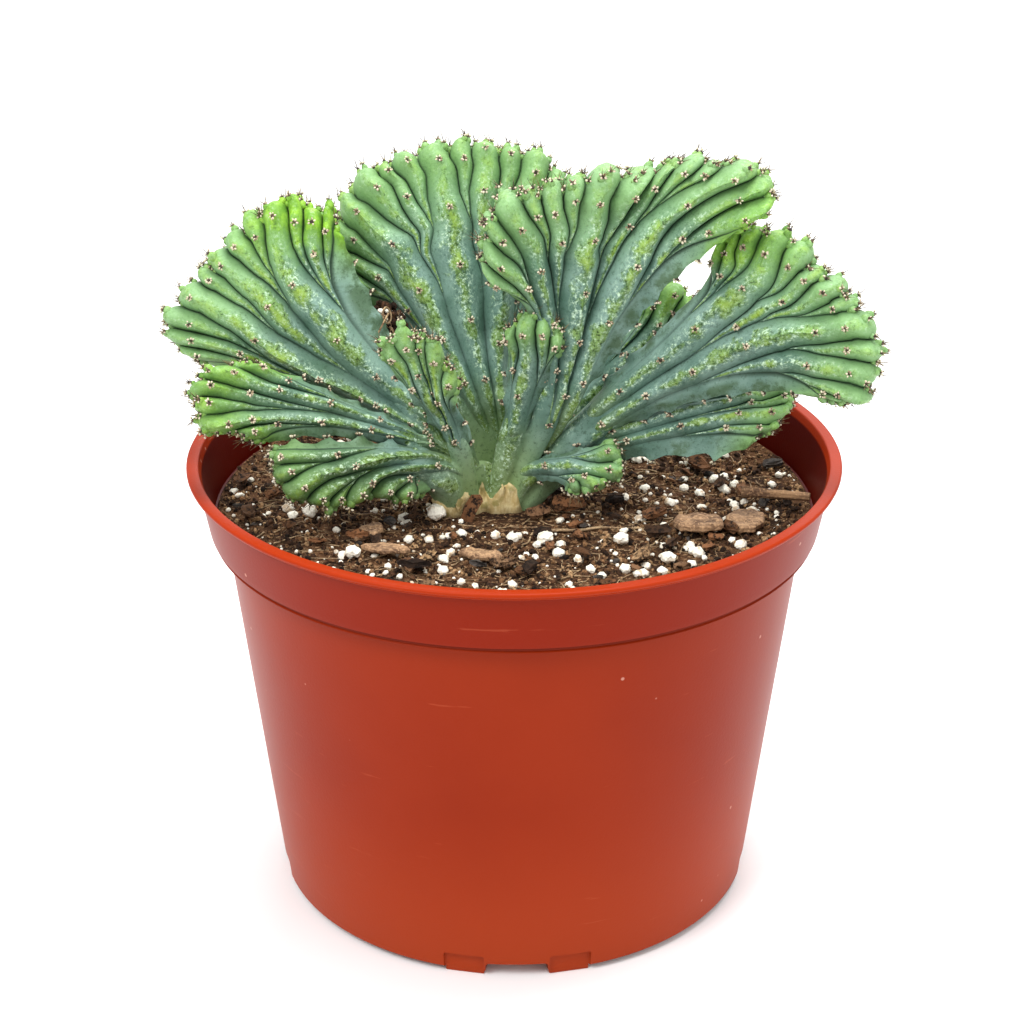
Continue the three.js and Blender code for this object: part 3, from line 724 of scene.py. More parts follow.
def open_place(random_number, margin):
    """A random place on the mix that isn't in the trunk."""
    while True:
        radius = (SOIL_RADIUS - margin) * math.sqrt(random_number.random())
        angle = random_number.uniform(0, 2 * math.pi)
        x, y = radius * math.cos(angle), radius * math.sin(angle)
        if math.hypot(x - TRUNK_AT.x, y - TRUNK_AT.y) > TRUNK_CLEARANCE:
            return x, y


def tones(placements, seed, top=1):
    """A random tone from 0 to top for each copy."""
    random_number = random.Random(seed)
    return {"tone": [top * random_number.random() for _ in placements]}


def scattered(count, sizes, margin, sink, seed, flat=0.8):
    """Placements of many grains, most small and a few large, all turned at random. Each is sunk by a
    share of its size, and none is nearer to the pot than the margin."""
    random_number = random.Random(seed)
    placements = []
    for _ in range(count):
        size = lerp(*sizes, random_number.random() ** 1.7)
        x, y = open_place(random_number, margin)
        turn = Matrix.Rotation(random_number.uniform(*ANY_TURN), 4, "Z")
        turn = turn @ Matrix.Rotation(random_number.uniform(-0.6, 0.6), 4, "X")
        scale = (size * random_number.uniform(0.8, 1.3), size, size * flat)
        lift = ground_at(x, y) + size * (flat - sink)
        placements.append(placed((x, y, lift), turn, scale))
    return placements


ground = surface_of(mix)
crumb = lumpy_ball(1, 0.35, 4)
grain = lumpy_ball(2, 0.2, 9)
crumbs = scattered(6800, (0.22, 0.95), margin=1.2, sink=0.3, seed=3)
finish_piece(copies(crumb.data, crumbs, tones(crumbs, 15)), "peat_crumbs", "soil", crumb_brown)
grains = scattered(400, (0.45, 1.45), margin=2.2, sink=0.3, seed=5)
grains += scattered(560, (0.18, 0.5), margin=1.5, sink=0.2, seed=6)
finish_piece(copies(grain.data, grains), "perlite_grains", "perlite", perlite, smooth=180)

# %% [markdown]
# The larger loose pieces are nodes of the solid model: flat bark chips, a stick and eight lumps of
# perlite. Each is replaced by a rounder twin made from a copy of its own mesh. The copy's loose
# corners are merged, a Subdivision Surface modifier gives it more points, Smooth rounds its edges and
# Displace roughens it. So it keeps the place of the node that it stands for, and nearly its size.

# %% Loose pieces that are nodes of the solid model
def refined_copy(node, levels, rough_size, roughness):
    """A finer, rougher copy of a node of the solid model."""
    piece = bpy.data.objects.new(node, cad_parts[node].data.copy())
    bpy.context.scene.collection.objects.link(piece)
    only(piece)
    bpy.ops.object.mode_set(mode="EDIT")
    bpy.ops.mesh.select_all(action="SELECT")
    bpy.ops.mesh.remove_doubles(threshold=1e-6)
    bpy.ops.object.mode_set(mode="OBJECT")
    apply_modifier(piece, "SUBSURF", levels=levels, render_levels=levels, subdivision_type="SIMPLE")
    apply_modifier(piece, "SMOOTH", factor=0.5, iterations=1)
    texture = bpy.data.textures.new("rough", "CLOUDS")
    texture.noise_scale = rough_size * MM
    texture.noise_depth = 4
    apply_modifier(piece, "DISPLACE", texture=texture, strength=roughness * MM, mid_level=0.5)
    return piece


for node in sorted(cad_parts):
    if node.startswith("bark_chip"):
        finish_piece(refined_copy(node, 4, 2.2, 1.1), node + "_rough", "bark", bark, node, smooth=40)
    elif node.startswith("perlite"):
        finish_piece(refined_copy(node, 3, 1.6, 0.9), node + "_rough", "perlite", perlite, node, smooth=60)
finish_piece(refined_copy("stick", 3, 2, 0.4), "twig", "twig", twig_wood, "stick", smooth=60)

# %% [markdown]
# Bits of bark and charcoal are slivers of a rough block, scattered like the crumbs but lying flatter.
# One of them has come to lean on the trunk's foot, so it gets a placement of its own.

# %% Slivers
CHIP_AT = (-9.9, -13.4, 98.4)
CHIP_SCALE = (6.4, 5.4, 4)
CHIP_TONE = 0.5
SLIVER_SHAPE = (1, 0.36, 0.13)


def sliver_template():
    """A flat sliver of one millimetre's length with rough faces."""
    bpy.ops.object.select_all(action="DESELECT")
    bpy.ops.mesh.primitive_cube_add(size=MM)
    made = bpy.context.object
    made.scale = SLIVER_SHAPE
    bpy.ops.object.transform_apply(scale=True)
    bpy.ops.object.mode_set(mode="EDIT")
    bpy.ops.mesh.subdivide(number_cuts=1, smoothness=0.6)
    bpy.ops.transform.vertex_random(offset=0.11 * MM, uniform=1, seed=5)
    bpy.ops.object.mode_set(mode="OBJECT")
    return made


def leaning_chip():
    """The placement of a sliver that stands on its end and leans against the trunk's foot."""
    upright = Matrix(((0, 1, 0, 0), (0, 0, 1, 0), (1, 0, 0, 0), (0, 0, 0, 1)))
    lean = Matrix.Rotation(-0.3, 4, "X") @ Matrix.Rotation(0.45, 4, "Y")
    return placed(CHIP_AT, lean @ upright, CHIP_SCALE)


sliver = sliver_template()
slivers = scattered(210, (1.0, 6), margin=4, sink=0.5, seed=12, flat=1)
sliver_tones = tones(slivers, 16)
slivers.append(leaning_chip())
sliver_tones["tone"].append(CHIP_TONE)
finish_piece(copies(sliver.data, slivers, sliver_tones), "bark_slivers", "bark", bark_brown)
charcoal = wood_finish("charcoal", rgb(20, 17, 15), rgb(84, 74, 66), (1, 1, 1))
charred = scattered(34, (1.4, 4), margin=4, sink=0.5, seed=13, flat=1)
finish_piece(copies(sliver.data, charred), "charcoal_bits", "soil", charcoal)
for template in (grain, sliver):
    bpy.data.objects.remove(template)

# %% [markdown]
# Dead roots are thin tubes. A root is a curve with a round bevel, made into a mesh, because the points
# of a curve can simply wander and follow the ground. Three thicker ones come out by the trunk.

# %% Hair roots
ROOT_STEPS = 7
# Where each thick root starts, the way it sets out in radians, its length and its radius.
THICK_ROOTS = [((7, -20), -0.25, 26, 0.45), ((5, -19), -1.3, 12, 0.35), ((-1, -17), -0.9, 14, 0.3)]


def root_curve(start, heading, length, radius, random_number):
    """A root that wanders over the ground from its start and grows thinner on its way."""
    points = []
    x, y = start
    for _ in range(ROOT_STEPS):
        points.append(Vector((x, y, ground_at(x, y) + radius * random_number.uniform(0.3, 2.5))))
        heading += random_number.uniform(-0.55, 0.55)
        x += length / ROOT_STEPS * math.cos(heading)
        y += length / ROOT_STEPS * math.sin(heading)
    curve = bpy.data.curves.new("root", "CURVE")
    curve.dimensions = "3D"
    curve.bevel_depth = radius * MM
    curve.bevel_resolution = 1
    curve.use_fill_caps = True
    spline = curve.splines.new("NURBS")
    spline.points.add(len(points) - 1)
    spline.order_u = 4
    spline.use_endpoint_u = True
    spline.resolution_u = 2
    for i, point in enumerate(spline.points):
        point.co = (*(points[i] * MM), 1)
        point.radius = 1 - 0.7 * i / len(points)
    root = bpy.data.objects.new("root", curve)
    bpy.context.scene.collection.objects.link(root)
    return root


def roots(count, seed):
    """The thick roots and many hair roots at random places, as one mesh."""
    random_number = random.Random(seed)
    made = [root_curve(*thick_root, random_number) for thick_root in THICK_ROOTS]
    for _ in range(count):
        place = open_place(random_number, 9)
        heading = random_number.uniform(*ANY_TURN)
        length = random_number.uniform(3, 13)
        radius = random_number.uniform(0.07, 0.2)
        made.append(root_curve(place, heading, length, radius, random_number))
    only(made[0])
    for root in made:
        root.select_set(True)
    bpy.ops.object.convert(target="MESH")
    bpy.ops.object.join()
    return bpy.context.object


root_bark = wood_finish("root_bark", rgb(96, 68, 44), rgb(206, 176, 134), (1, 1, 1))
finish_piece(roots(620, 21), "hair_roots", "twig", root_bark, smooth=60)

# %% [markdown]
# ## The fans of the cactus
# Each fan is a curved sheet that widens from the trunk to its growing edge. Four rows of points give
# its form: the root in the trunk, the narrow neck, the shoulder where it spreads, and the edge. Such a
# form could be sculpted, but ribs that start one after another are easier to grow from a rule, so this
# piece is made from points that are worked out. The rows are close to those of the solid model.
#
# Each fan also has a number of ribs at its edge, and the numbers of the main ones, which leave the
# trunk. The fingers are the ribs, on the front and on the back, that the trunk's fingers run into.
# Young says between which shares of the edge it has lime new growth, and how much. Thick is its share
# of the full thickness, and flanges are the widths of its smooth sides, counted in ribs. A pointed fan
# thins out to tips, and follow is how closely the faces follow the sheet's bends.

# %% The rows of the fans
FANS = {
    "leftUpper": {
        "fingers": ((3, 8), (3, 8)),
        "mains": (3, 8),
        "young": (0.62, 1.2, 0.9),
        "ribs": 12, "thick": 1, "flanges": (0.6, 1.5),
        "root": [(-14, -3, 106), (-11, 1, 108)],
        "neck": [(-29, -4, 118), (-29, -3, 122), (-27, -2, 126), (-24, -1, 128)],
        "shoulder": [(-53, -5, 130), (-57, -4, 134), (-59, -3, 139), (-56, -1, 146), (-51, 0, 151),
            (-45, 1, 153), (-38, 2, 151)],
        "edge": [(-73, -1, 130), (-79, 1, 135), (-79, 3, 140), (-74, 4, 147), (-69, 5, 153),
            (-64, 5, 159), (-57, 5, 165), (-50, 6, 167), (-43, 6, 165), (-39, 4, 162)],
    },
    "leftLower": {
        "fingers": ((1,), (1, 4)),
        "mains": (1, 4),
        "young": (-0.2, 1.2, 0.5),
        "ribs": 6, "thick": 0.85, "flanges": (0.6, 0.9),
        "root": [(-14, -5, 107), (-12, -6, 106)],
        "neck": [(-30, -14, 125), (-31, -16, 123), (-31, -17, 120)],
        "shoulder": [(-48, -15, 130), (-53, -17, 129), (-55, -19, 127), (-55, -20, 124), (-50, -21, 121)],
        "edge": [(-56, -15, 135), (-62, -17, 136), (-68, -20, 135), (-71, -22, 132),
            (-71, -25, 128), (-68, -25, 123), (-62, -24, 121), (-57, -23, 118)],
    },
    "leftFrill": {
        "fingers": ((2, 5), ()),
        "mains": (2, 5),
        "young": (0, 1, 0.0),
        "ribs": 8, "thick": 0.65, "flanges": (0.4, 0.5),
        "root": [(-16, -10, 110), (-11, -9, 104)],
        "neck": [(-27, -18, 119), (-28, -20, 116), (-24, -19, 112), (-18, -14, 108)],
        "shoulder": [(-41, -22, 119), (-42, -24, 116), (-40, -24, 114), (-35, -22, 113),
            (-29, -20, 112), (-20, -15, 110)],
        "edge": [(-55, -25, 119), (-54, -27, 115), (-52, -28, 111), (-48, -28, 107),
            (-43, -27, 105), (-38, -25, 105), (-33, -23, 105), (-28, -21, 104), (-22, -19, 103)],
    },
    "back": {
        "fingers": ((), (3, 7, 11)),
        "mains": (3, 7, 11),
        "young": (-0.2, 1.2, 0.1),
        "ribs": 14, "thick": 1, "flanges": (1.0, 0.5),
        "root": [(-6, 4, 107), (-1, 5, 107)],
        "neck": [(-14, 9, 124), (-12, 9, 128), (-9, 10, 129), (-5, 10, 128)],
        "shoulder": [(-26, 12, 136), (-29, 13, 141), (-29, 14, 147), (-26, 15, 153), (-21, 15, 157),
            (-15, 16, 158), (-8, 16, 157), (-2, 15, 155), (2, 14, 150), (5, 13, 144)],
        "edge": [(-38, 14, 141), (-41, 17, 148), (-41, 19, 156), (-39, 22, 163), (-33, 24, 169),
            (-26, 26, 171), (-18, 28, 172), (-10, 29, 174), (-2, 28, 173), (6, 27, 171),
            (13, 25, 167), (18, 22, 161)],
    },
    "frontRight": {
        "follow": 0.3,
        "fingers": ((3, 7), (7, 12)),
        "mains": (3, 7, 12),
        "young": (0.86, 1.2, 0.7),
        "ribs": 15, "thick": 1, "flanges": (0.8, 1.0),
        "root": [(3, -5, 109), (9, -4, 110)],
        "neck": [(9, -9, 129), (12, -8, 133), (14, -9, 134), (19, -7, 134)],
        "shoulder": [(9, -12, 145), (6, -11, 150), (5, -8, 154), (8, -8, 160), (12, -7, 160),
            (17, -4, 162), (21, -5, 162), (26, -6, 162), (30, -6, 162), (35, -9, 156)],
        "edge": [(-4, -13, 153), (-7, -16, 159), (-7, -17, 165), (-5, -16, 171), (0, -13, 174),
            (6, -11, 175), (13, -9, 176), (20, -7, 177), (26, -7, 176), (33, -5, 178),
            (39, -6, 180), (46, -8, 180), (52, -10, 179), (57, -11, 176), (56, -14, 171),
            (50, -14, 166)],
    },
    "right": {
        "fingers": ((3, 8), (3, 8)),
        "mains": (3, 8),
        "young": (-0.2, 0.3, 0.7),
        "ribs": 13, "thick": 0.9, "flanges": (1.3, 1.4),
        "root": [(9, -3, 109), (11, -5, 107)],
        "neck": [(27, -4, 137), (30, -5, 134), (32, -6, 130), (33, -7, 126)],
        "shoulder": [(43, -4, 146), (48, -5, 149), (53, -7, 150), (58, -9, 148), (62, -10, 144),
            (64, -12, 140), (64, -13, 135), (61, -14, 130)],
        "edge": [(45, -1, 155), (47, -2, 159), (51, -5, 163), (58, -8, 164), (63, -11, 162),
            (68, -13, 157), (73, -15, 154), (77, -18, 149), (80, -21, 143), (80, -23, 138),
            (78, -24, 131), (74, -22, 128), (68, -20, 128)],
    },
    "rightLow": {
        "fingers": ((1,), (1, 3)),
        "mains": (1, 3),
        "young": (0.3, 1.2, 0.15),
        "ribs": 5, "thick": 0.8, "flanges": (0.8, 1.4),
        "root": [(10, -1, 109), (11, -3, 106)],
        "neck": [(33, -5, 122), (34, -7, 119), (35, -8, 115), (34, -10, 112)],
        "shoulder": [(49, -3, 125), (52, -6, 122), (51, -10, 118), (48, -13, 111)],
        "edge": [(62, 3, 126), (64, 1, 124), (64, -3, 122), (61, -7, 118), (56, -11, 115)],
    },
    "middleLeft": {
        "pointed": 1,
        "fingers": ((1, 3), ()),
        "mains": (1, 3),
        "young": (0, 1, 0.1),
        "ribs": 5, "thick": 0.75, "flanges": (0.5, 0.5),
        "root": [(-12, -8, 108), (-8, -8, 108)],
        "neck": [(-17, -13, 119), (-15, -13, 120), (-14, -13, 120), (-12, -13, 118)],
        "shoulder": [(-25, -17, 131), (-23, -17, 134), (-21, -16, 134), (-18, -16, 132), (-14, -16, 126)],
        "edge": [(-30, -18, 139), (-28, -20, 143), (-23, -20, 144), (-19, -20, 143),
            (-15, -18, 138), (-11, -16, 129)],
    },
    "middle": {
        "fingers": ((1,), ()),
        "mains": (1,),
        "young": (0, 1, 0.1),
        "ribs": 4, "thick": 0.75, "flanges": (0.5, 0.5),
        "root": [(-3, -6, 109), (1, -6, 109)],
        "neck": [(-2, -8, 123), (0, -8, 125), (3, -9, 125), (5, -9, 122)],
        "shoulder": [(-1, -9, 133), (2, -10, 137), (6, -11, 137), (9, -11, 134)],
        "edge": [(-1, -8, 140), (1, -10, 144), (5, -11, 146), (9, -11, 144), (12, -10, 138)],
    },
    "backPup": {
        "fingers": ((), (1,)),
        "mains": (1,),
        "young": (-0.2, 1.2, 0.4),
        "ribs": 4, "thick": 0.65, "flanges": (0.4, 0.4),
        "root": [(0, 3, 107), (4, 3, 107)],
        "neck": [(16, 9, 120), (19, 9, 118), (22, 9, 115)],
        "shoulder": [(29, 14, 133), (33, 14, 133), (37, 14, 129)],
        "edge": [(30, 15, 138), (34, 17, 142), (39, 18, 142), (42, 18, 138), (41, 16, 133)],
    },
    "frontPup": {
        "fingers": ((1,), ()),
        "mains": (1,),
        "young": (0, 1, 0.0),
        "ribs": 4, "thick": 0.55, "flanges": (0.4, 0.4),
        "root": [(1, -6, 107), (0, -7, 103)],
        "neck": [(9, -9, 110), (8, -11, 106)],
        "shoulder": [(17, -11, 113), (17, -13, 109), (13, -14, 105)],
        "edge": [(23, -11, 115), (25, -14, 111), (23, -16, 107), (17, -17, 105), (12, -17, 104)],
    },
    "leftPup": {
        "fingers": ((1,), ()),
        "mains": (1,),
        "young": (0, 1, 0.0),
        "ribs": 3, "thick": 0.5, "flanges": (0.4, 0.4),
        "root": [(-14, -6, 106), (-12, -8, 103)],
        "neck": [(-20, -10, 108), (-18, -12, 105)],
        "shoulder": [(-24, -13, 109), (-21, -13, 107)],
        "edge": [(-31, -15, 109), (-30, -17, 106), (-26, -18, 104), (-21, -17, 103)],
    },
}
# How far a rib stands out, at most and as a share of its width. Up to the first of three widths a rib
# is round with sharp creases, from the second its creases are smooth hollows, and from the third it is
# a broad ridge.
RIB_RELIEF = 4.2
RIB_SHAPE = 0.55
ROUND_RIB = 5
HOLLOW_RIB = 10
BROAD_RIB = 11
# Half the thickness of a sheet from mid height up and at its root, the share of it that is left inside
# the trunk, and how far the growing edge is drawn in, so that the skin can roll over it.
BLADE = 1.7
STEM = 4.6
ROOT_THINNING = 0.4
EDGE_ROUNDING = 3.2
print(len(FANS), "fans with", sum(fan["ribs"] for fan in FANS.values()), "ribs at their edges")

# %% [markdown]
# Only a few main ribs leave the trunk. As the fan widens, new ribs start as wedges in the creases
# between older ones, first one in the middle of each gap, then one on each side of that, until the
# growing edge is full. On the plant a rib really splits in two, but a wedge looks the same and needs no
# parting of the mesh. A `Rib` knows where it starts, and opens to its full width above that place.

# %% Ribs that start as wedges
WEDGE_STARTS = [(0.42, 0.56), (0.64, 0.75), (0.77, 0.84), (0.82, 0.88)]
WEDGE_LENGTH = 0.28
LAST_OPENING = 1.12
MAIN_WEIGHTS = (1.75, 1.25)


class Rib:
    """One rib of a fan. A main rib starts in the trunk, and a wedge starts higher up."""

    def __init__(self, start, weight, reach):
        self.start = start
        self.weight = weight
        self.reach = reach

    def width(self, v):
        """Its width at height v of the fan, as a share of an even rib."""
        if self.start <= 0:
            return self.weight * lerp(*MAIN_WEIGHTS, smoothstep(0.1, 0.9, v))
        length = min(WEDGE_LENGTH, LAST_OPENING - self.start)
        return self.weight * float(np.clip((v - self.start) / length, 0, 1))

    def relief(self, across, width):
        """How far the surface stands out, where across is 0 and 1 at the rib's two creases. A narrow rib
        is round with sharp creases, and a broad one is a ridge with a smooth hollow on both sides."""
        height = min(RIB_SHAPE * width, RIB_RELIEF)
        power = lerp(1.15, 1.8, ramp(BROAD_RIB, ROUND_RIB, width))
        return height * (1 - abs(2 * across - 1) ** power)

    def crest(self, across, width):
        """0 in a sharp crease and 1 on the rib's crest, and a little more than 0 in a smooth hollow."""
        hollow = 0.12 * ramp(ROUND_RIB, HOLLOW_RIB, width)
        return hollow + (1 - hollow) * (1 - abs(2 * across - 1))


def wedge_ribs(count, mains, random_number):
    """The ribs of a fan from left to right, of which the ones numbered in mains are main ribs."""
    ribs = [None] * count
    for k in mains:
        ribs[k] = Rib(0, random_number.uniform(0.95, 1.1), random_number.uniform(0.4, 1.1))

    def fill(low, high, level):
        if high - low > 1:
            middle = (low + high) // 2
            start = random_number.uniform(*WEDGE_STARTS[min(level, 3)])
            ribs[middle] = Rib(start, random_number.uniform(0.65, 1.3), random_number.uniform(-0.3, 1.1))
            fill(low, middle, level + 1)
            fill(middle, high, level + 1)

    for low, high in zip((-1, *mains), (*mains, count)):
        fill(low, high, 0)
    return ribs


example = wedge_ribs(9, (2, 6), random.Random(1))
print("nine ribs, of which two are main ones, start at", [round(rib.start, 2) for rib in example])

# %% [markdown]
# A row is a handful of points, and the sheet needs any place between them. The curve that is used here
# passes through every point of the row, so that a point can be moved to where the plant has it.

# %% Smooth rows
def smooth_row(points, u):
    """Places on the smooth curve through a row of points, at shares u of the way along it."""
    points = np.array(points, float)
    ends = np.vstack([2 * points[0] - points[1], points, 2 * points[-1] - points[-2]])
    along = np.clip(np.asarray(u, float), 0, 1) * (len(points) - 1)
    i = np.minimum(along.astype(int), len(points) - 2)
    t = (along - i)[:, None]
    a, b, c, d = (ends[i + k] for k in range(4))
    return 0.5 * (2 * b + (c - a) * t + (2 * a - 5 * b + 4 * c - d) * t**2 + (3 * b - a - 3 * c + d) * t**3)


def unit(vectors):
    return vectors / np.linalg.norm(vectors, axis=1)[:, None]


print("halfway along an edge:", smooth_row(FANS["back"]["edge"], [0.5]).round(1).tolist())

# %% [markdown]
# A `Fan` joins the sheet and its ribs. Its places are told by u, from its left side to its right, and
# v, from the trunk to the growing edge. Both faces carry the ribs, the thin sides have none, and at
# the growing edge the surface rolls over from one face to the other. Working in u and v keeps the rule
# for the ribs apart from the bends of the sheet.

# %% A fan
class Fan:
    """The sheet of one fan, with its ribs."""

    def __init__(self, rows, seed):
        self.rows = rows
        self.thick = rows["thick"]
        self.ribs = wedge_ribs(rows["ribs"], rows["mains"], random.Random(seed))

    def sheet(self, u, v):
        """The places of the sheet's middle at shares u of the way across, at height v."""
        names = ("root", "neck", "shoulder", "edge")
        root, neck, shoulder, edge = (smooth_row(self.rows[name], u) for name in names)
        pull = EDGE_ROUNDING * self.thick / np.linalg.norm(edge - shoulder, axis=1)[:, None]
        edge = lerp(edge, shoulder, pull)
        rest = 1 - v
        return rest**3 * root + 3 * v * rest**2 * neck + 3 * v**2 * rest * shoulder + v**3 * edge

    def directions(self, u, v):
        """Unit vectors along the sheet's growth, across it and out of its face."""
        near = 0.01
        along = unit(self.sheet(u, min(v + near, 1)) - self.sheet(u, max(v - near, 0)))
        across = unit(self.sheet(np.minimum(u + near, 1), v) - self.sheet(np.maximum(u - near, 0), v))
        return along, across, unit(np.cross(across, along))

    def frame(self, u, v):
        """The sheet's middle and its directions. The one out of its face follows the bends in part."""
        along, across, normal = self.directions(u, v)
        centre = self.directions(np.array([0.5]), v)[2]
        outward = unit(lerp(centre, normal, self.rows.get("follow", 0.6)))
        return self.sheet(u, v), along, across, outward

    def spans(self, v):
        """Where each rib starts and ends, and the whole width with the flanges, all counted in ribs."""
        spread = 0.2 + 0.8 * smoothstep(0.05, 0.35, v) * (1 - 0.7 * smoothstep(0.7, 1, v))
        left, right = (flange * spread for flange in self.rows["flanges"])
        edges = np.cumsum([left] + [rib.width(v) for rib in self.ribs])
        return list(zip(edges, edges[1:])), edges[-1] + right

    def bulk(self, v):
        """Half the thickness of the sheet and the width of a rib, in millimetres."""
        row = self.sheet(np.linspace(0, 1, 9), v)
        width = np.linalg.norm(np.diff(row, axis=0), axis=1).sum()
        half = min(lerp(STEM, BLADE, smoothstep(0, 0.5, v)) * self.thick, 0.42 * width)
        return half, width / self.spans(v)[1]

    def relief(self, x, v):
        """How far the surface stands out at the places x, how far each is from its creases, from 0 to 1,
        and how far the rib's tip reaches out there."""
        spans, _ = self.spans(v)
        rib_mm = self.bulk(v)[1]
        total = np.zeros(len(x))
        crest = np.zeros(len(x))
        reach = np.zeros(len(x))
        for rib, (x0, x1) in zip(self.ribs, spans):
            inside = (x >= x0) & (x <= x1)
            across = np.clip((x - x0) / max(x1 - x0, 1e-9), 0, 1)
            total = np.where(inside, rib.relief(across, (x1 - x0) * rib_mm), total)
            crest = np.where(inside, rib.crest(across, (x1 - x0) * rib_mm), crest)
            reach = np.where(inside, rib.reach, reach)
        return total * min(1, 0.5 + 0.5 * self.thick), crest, reach

    def thinning(self, v):
        """How much of its thickness is left at height v: less in the trunk, and at a pointed edge."""
        point = 1 - 0.6 * self.rows.get("pointed", 0) * smoothstep(0.55, 1, v)
        return lerp(ROOT_THINNING, 1, smoothstep(0, 0.2, v)) * point

    def young(self, u):
        """How much of the lime green of new growth the edge has at u."""
        low, high, strength = self.rows["young"]
        soft = 0.12
        inside = smoothstep(low - soft, low + soft, u) * (1 - smoothstep(high - soft, high + soft, u))
        return strength * inside

    def side_length(self, u, v):
        """How far it is along the sheet from the root up to height v, in millimetres."""
        steps = np.array([self.sheet(np.array([u]), t)[0] for t in np.linspace(0, v, 24)])
        return np.linalg.norm(np.diff(steps, axis=0), axis=1).sum()


fans = {name: Fan(rows, 10 + number) for number, (name, rows) in enumerate(FANS.items())}
print("half the thickness at mid height:", {n: round(float(f.bulk(0.5)[0]), 1) for n, f in fans.items()})

# %% [markdown]
# The mesh of a fan is a net of columns and rows. Each rib has eight columns, set closer at its
# creases so that they stay sharp. A flange thins to an edge with small teeth. The sheet itself is
# a little wavy, because nothing on a grown plant is flat.

# %% The net of a fan
RIB_COLUMNS = 8
FLANGE_COLUMNS = 4
FAN_ROWS = 54
ROLL_ANGLES = np.radians(np.linspace(0, 180, 9))[1:-1]
TOOTH_PITCH = 7.5
TOOTH_HEIGHT = 2.3
TIP_REACH = 1.9
# The size and the height of the waves of a sheet, and of its flanges.
SHEET_WAVES = (17, 1.3)
FLANGE_WAVES = (6, 1.2)
print("net:", RIB_COLUMNS, "columns a rib,", FAN_ROWS, "rows and", len(ROLL_ANGLES), "more round the edge")


def columns_of(fan, v):
    """Where the columns lie at height v, and how deep each lies in a flange, from 0 to 1 at the edge."""
    spans, total = fan.spans(v)
    left, right = spans[0][0], total - spans[-1][1]
    steps = (1 - np.cos(np.pi * np.arange(RIB_COLUMNS) / RIB_COLUMNS)) / 2
    x = np.concatenate([np.linspace(0, left, FLANGE_COLUMNS, endpoint=False)]
        + [x0 + (x1 - x0) * steps for x0, x1 in spans]
        + [np.linspace(total - right, total, FLANGE_COLUMNS + 1)])
    flange = np.clip(np.maximum(1 - x / left, 1 - (total - x) / right), 0, 1)
    return x, total, flange


def tooth(fan, side, v):
    """How far the edge of a flange stands out at height v: uneven teeth with hollows in between."""
    length = fan.side_length(side, v)
    phase = (length / TOOTH_PITCH) % 1
    uneven = 0.8 + 0.9 * noise.noise(Vector((length / 11, 7 * side, fan.thick * 30)))
    nicks = 0.5 * noise.noise(Vector((length / 1.6, 3 * side, fan.thick * 20)))
    height = TOOTH_HEIGHT * uneven * fan.thick**0.5 * (2 * abs(phase - 0.5)) ** 2
    return (height + nicks) * smoothstep(0.12, 0.3, v)


def waves(points, size, height):
    """A slow noise at each point, as a column."""
    return np.array([height * noise.noise(Vector(p) / size) for p in points])[:, None]


def rounded(crest):
    """A circle's height at each place between two creases."""
    return np.sqrt(1 - (1 - crest) ** 2)


def fan_row(fan, v):
    """The points of one row: the middle of the sheet, the rise of its faces, and the directions."""
    x, total, flange = columns_of(fan, v)
    middle, along, across, normal = fan.frame(x / total, v)
    half, _ = fan.bulk(v)
    relief, crest, reach = fan.relief(x, v)
    outward = np.where(x < total / 2, -1, 1) * flange**2
    teeth = np.where(x < total / 2, tooth(fan, 0, v), tooth(fan, 1, v))
    middle = middle + across * (outward * teeth)[:, None]
    ripple = normal * waves(middle, *FLANGE_WAVES) * (flange**2)[:, None]
    middle = middle + normal * waves(middle, *SHEET_WAVES) + ripple
    pointed = fan.rows.get("pointed", 0)
    outline = lerp(rounded(crest), 2.2 * crest, pointed)
    near_edge = smoothstep(0.84 - 0.2 * pointed, 1, v)
    tip = TIP_REACH * fan.thick * (outline * reach - 0.4) * near_edge * (1 - flange)
    middle = middle + along * tip[:, None]
    rise = (half * (1 - flange**1.6) + relief) * fan.thinning(v)
    return {"middle": middle, "along": along, "normal": normal, "rise": rise,
        "crest": crest, "flange": flange, "u": x / total}


def tip_reach(fan, edge):
    """How far the skin rolls out beyond the last row, more on the crests than in the creases."""
    return EDGE_ROUNDING * fan.thick * (0.35 + 0.65 * rounded(edge["crest"]))


# %% [markdown]
# The lines of points of the front, the roll round the growing edge and the back make one net. Its
# last line meets its first in the trunk, and both faces share the points of the sides, so the skin
# of a fan is closed all round.

# %% From rows to a closed net
def net_faces(lines, columns):
    """Faces of a net whose last line joins its first, with each side column shared by both faces."""
    rows = FAN_ROWS + 1

    def point(line, column):
        if column in (0, columns - 1):
            if line >= lines - rows:
                line = lines - 1 - line
            elif line >= rows:
                line = rows - 1
        return line * columns + column

    faces = []
    for line in range(lines):
        after = (line + 1) % lines
        for column in range(columns - 1):
            corners = [point(line, column), point(line, column + 1)]
            corners += [point(after, column + 1), point(after, column)]
            corners = [c for i, c in enumerate(corners) if c != corners[i - 1]]
            if len(corners) > 2:
                faces.append(tuple(corners))
    return faces


